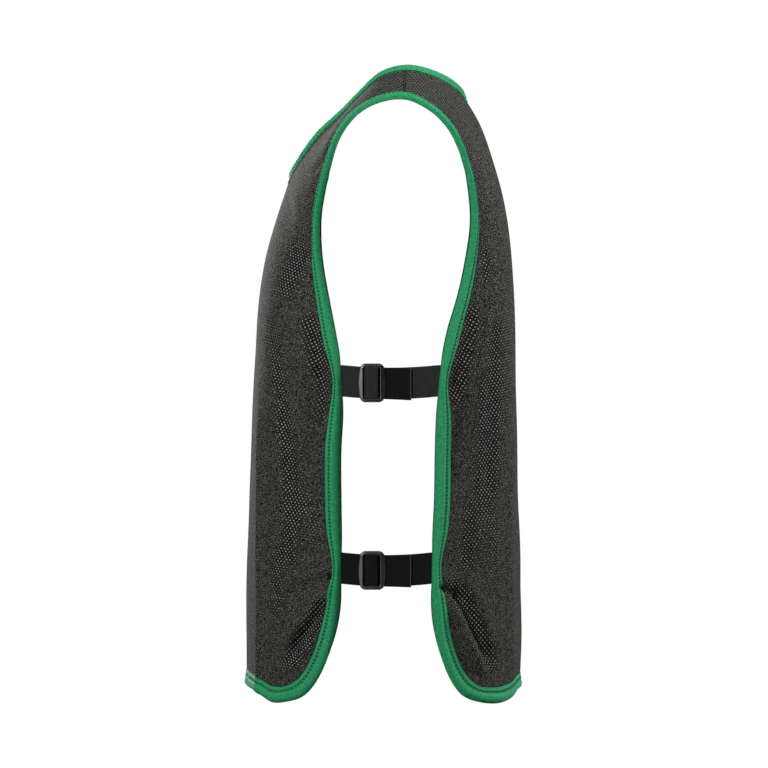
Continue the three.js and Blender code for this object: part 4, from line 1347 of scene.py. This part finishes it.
def stitch_tree():
    """Geometry nodes that lay stitches end to end along seam lines."""
    tree = bpy.data.node_groups.new("sewn_stitches", "GeometryNodeTree")
    tree.interface.new_socket(name="Seam line", in_out="INPUT", socket_type="NodeSocketGeometry")
    for name in STITCH:
        tree.interface.new_socket(name=name, in_out="INPUT", socket_type="NodeSocketFloat")
    tree.interface.new_socket(name="Seed", in_out="INPUT", socket_type="NodeSocketInt")
    tree.interface.new_socket(name="Thread", in_out="INPUT", socket_type="NodeSocketMaterial")
    tree.interface.new_socket(name="Stitches", in_out="OUTPUT", socket_type="NodeSocketGeometry")
    given = add(tree, "NodeGroupInput").outputs
    line = add(tree, "GeometryNodeMeshToCurve", {"Mesh": given["Seam line"]}).outputs[0]
    apart = {"Curve": line, "Length": given["Pitch"]}
    holes = add(tree, "GeometryNodeResampleCurve", apart, mode="LENGTH").outputs[0]
    bead = add(tree, "GeometryNodeMeshUVSphere", {"Segments": 6, "Rings": 5, "Radius": 0.5}).outputs[0]
    tangent = add(tree, "GeometryNodeInputTangent").outputs[0]
    turn = add(tree, "FunctionNodeAlignRotationToVector", {"Vector": tangent}, axis="X").outputs[0]
    uneven = {2: 0.9, 3: 1.08, "Seed": given["Seed"]}
    vary = add(tree, "FunctionNodeRandomValue", uneven, data_type="FLOAT").outputs[1]
    long = add(tree, MATHS, {0: given["Length"], 1: vary}, operation="MULTIPLY").outputs[0]
    thick = given["Thickness"]
    size = add(tree, "ShaderNodeCombineXYZ", {0: long, 1: thick, 2: thick}).outputs[0]
    laid = {"Points": holes, "Instance": bead, "Rotation": turn, "Scale": size}
    instances = add(tree, "GeometryNodeInstanceOnPoints", laid).outputs[0]
    real = add(tree, "GeometryNodeRealizeInstances", {"Geometry": instances}).outputs[0]
    smooth = add(tree, "GeometryNodeSetShadeSmooth", {"Geometry": real}).outputs[0]
    sewn = add(tree, "GeometryNodeSetMaterial", {"Geometry": smooth, "Material": given["Thread"]}).outputs[0]
    add(tree, "NodeGroupOutput", {"Stitches": sewn})
    return tree


def make_stitches(name, lines, tree, thread, seed, sizes=STITCH):
    """Stitches along lines of points in mm, each given with whether it closes on itself."""
    points, edges, first = [], [], 0
    for line, closed in lines:
        index = np.arange(first, first + len(line))
        edges += list(zip(index[:-1], index[1:]))
        if closed:
            edges.append((index[-1], index[0]))
        points.append(line)
        first += len(line)
    seam = bpy.data.meshes.new(name)
    seam.from_pydata((np.vstack(points) * MM).tolist(), [tuple(map(int, edge)) for edge in edges], [])
    holder = linked(name + "_seam", seam)
    modifier = holder.modifiers.new("stitches", "NODES")
    modifier.node_group = tree
    values = {key: size * MM for key, size in sizes.items()} | {"Seed": seed, "Thread": thread}
    for item in tree.interface.items_tree:
        if item.in_out == "INPUT" and item.name in values:
            modifier[item.identifier] = values[item.name]
    mesh = made_plain(holder)
    mesh.name = name
    return linked(name, mesh)


# Stage, in metres and watts

FLOOR = {"reach": 6, "height": -0.68}
CAMERA = {"place": (3, -0.019, -0.287), "height": 0.7296}
BIB = (0, 0, -0.3)  # what the lamps are aimed at
LAMPS = {  # place, aim, size and power
    "left_front": ((1.7, -0.8, 0.2), BIB, 0.5, 46),
    "right_front": ((-1.7, -0.8, 0.2), BIB, 0.5, 46),
    "front": ((0, -2.2, 0.4), BIB, 0.5, 9),
    "back": ((0, 2.1, 0.6), BIB, 0.5, 90),
    "top": ((0, 0, 1.7), (0, 0, 0), 0.8, 32),
}


def make_floor():
    """A pale floor, lit like the white round it, that doesn't light the bib from below."""
    reach, height = FLOOR["reach"], FLOOR["height"]
    corners = [(x * reach, y * reach, height) for x, y in ((-1, -1), (1, -1), (1, 1), (-1, 1))]
    mesh = bpy.data.meshes.new("floor")
    mesh.from_pydata(corners, [], [(0, 1, 2, 3)])
    mesh.materials.append(painted_floor())
    floor = linked("floor", mesh)
    floor.visible_diffuse = False


def make_surroundings():
    """White all round the bib, with the light left to the lamps."""
    world = bpy.data.worlds.new("white_studio")
    bpy.context.scene.world = world
    world.use_nodes = True
    background = world.node_tree.nodes["Background"].inputs
    background["Color"].default_value = (1, 1, 1, 1)
    background["Strength"].default_value = 1.0
    world.cycles_visibility.diffuse = False
    world.cycles_visibility.glossy = False


def add_lamp(name, place, aim, size, power):
    light = bpy.data.lights.new(name, "AREA")
    light.size, light.energy = size, power
    lamp = linked(name, light)
    lamp.location = place
    lamp.rotation_mode = "QUATERNION"
    lamp.rotation_quaternion = (Vector(aim) - Vector(place)).to_track_quat("-Z", "Y")


def make_camera():
    """A side view from the wearer's left, with parallel lines of sight."""
    data = bpy.data.cameras.new("camera")
    data.type, data.ortho_scale = "ORTHO", CAMERA["height"]
    camera = linked("camera", data)
    camera.location = CAMERA["place"]
    camera.rotation_euler = (math.pi / 2, 0, math.pi / 2)
    bpy.context.scene.camera = camera
    bpy.context.scene.view_settings.view_transform = "Standard"


# Assembly

def dress(piece, slot, *nodes):
    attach(piece, "root")
    if nodes:
        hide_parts(*nodes)


# Tones of each strap's run: the upper ones lighter as painted light, the lower ones darker as painted shade,
# on one and the same elastic.
ELASTIC_LIT_AND_SHADED = {"upper": ("lit", "#191919", "#272726"), "lower": ("slack", "#080808", "#0f0f0f")}
GREEN_THREAD, BLACK_THREAD = "#0c4a2d", "#060606"


def bind_edges(tape, sewing, green, black):
    """Each panel's edge tape with its stitches and the black thread line beside it, a painted shadow, by the
    panel's name.
    """
    bindings = {}
    for seed, panel in enumerate(PANELS):
        binding, seams, beside = make_edge_binding(panel, tape)
        stitches = make_stitches(f"{panel.name}_binding_stitches", seams, sewing, green, seed)
        # Black thread just beyond the tape's inner edge: painted shadow of the tape.
        edge_shadow_line = make_stitches(f"{panel.name}_edging_stitches", beside, sewing, black, seed, SEAM_STITCH)
        dress(binding, "binding_tape", f"{panel.name}_binding")
        dress(stitches, "binding_tape")
        dress(edge_shadow_line, "binding_tape")
        bindings[panel.name] = [binding, stitches, edge_shadow_line]
    return bindings


def bind_neck(tape, sewing, black):
    neck, seams = make_neck_binding(tape)
    # Black thread, tight into one dark line near the neck tape's inner edge: a seam that also serves as
    # painted shadow under the tape.
    stitches = make_stitches("neck_binding_stitches", seams, sewing, black, 7, SEAM_STITCH)
    dress(neck, "binding_tape", "neck_binding")
    dress(stitches, "binding_tape")


def join_shoulders(sewing, black):
    seam = make_stitches("shoulder_seam_stitches", shoulder_seams(), sewing, black, 11, SEAM_STITCH)
    dress(seam, "mesh_knit")


def hang_panels():
    knit = polyester_mesh_knit()
    for panel in PANELS:
        cloth, cut, area = make_panel(panel, knit)
        dress(cloth, "mesh_knit", f"{panel.name}_panel")


def fasten_straps():
    flat_slider, plastic = slider_mesh(), moulded_acetal()
    for level, height in STRAP_LEVELS.items():
        # Each level's elastic is a lit or a shaded copy of one material: painted light and painted shade.
        lit_or_shaded, *shades = ELASTIC_LIT_AND_SHADED[level]
        elastic, line = woven_elastic(f"woven_elastic_{lit_or_shaded}", shades), StrapLine(height)
        ends = (("front", front_elastic_path(line), TAIL_DROOP), ("back", back_elastic_path(line), 0))
        for side, mirror in (("left", False), ("right", True)):
            stem = f"{side}_{level}"
            for end, path, droop in ends:
                strap = make_elastic(f"{stem}_{end}_elastic", path, line, height, droop, mirror, elastic)
                dress(strap, "elastic", f"{stem}_{end}_strap")
            slider = make_slider(f"{stem}_slider_moulding", flat_slider, line, height, mirror, plastic)
            dress(slider, "slider_plastic", f"{stem}_slider")


def assemble():
    tape, sewing = polyester_binding_tape(), stitch_tree()
    green = spun_thread("green_spun_thread", GREEN_THREAD)
    black = spun_thread("black_spun_thread", BLACK_THREAD)
    bindings = bind_edges(tape, sewing, green, black)
    bind_neck(tape, sewing, black)
    join_shoulders(sewing, black)
    hang_panels()
    fasten_straps()


make_camera()
make_floor()
make_surroundings()
for name, lamp in LAMPS.items():
    add_lamp(name, *lamp)
assemble()
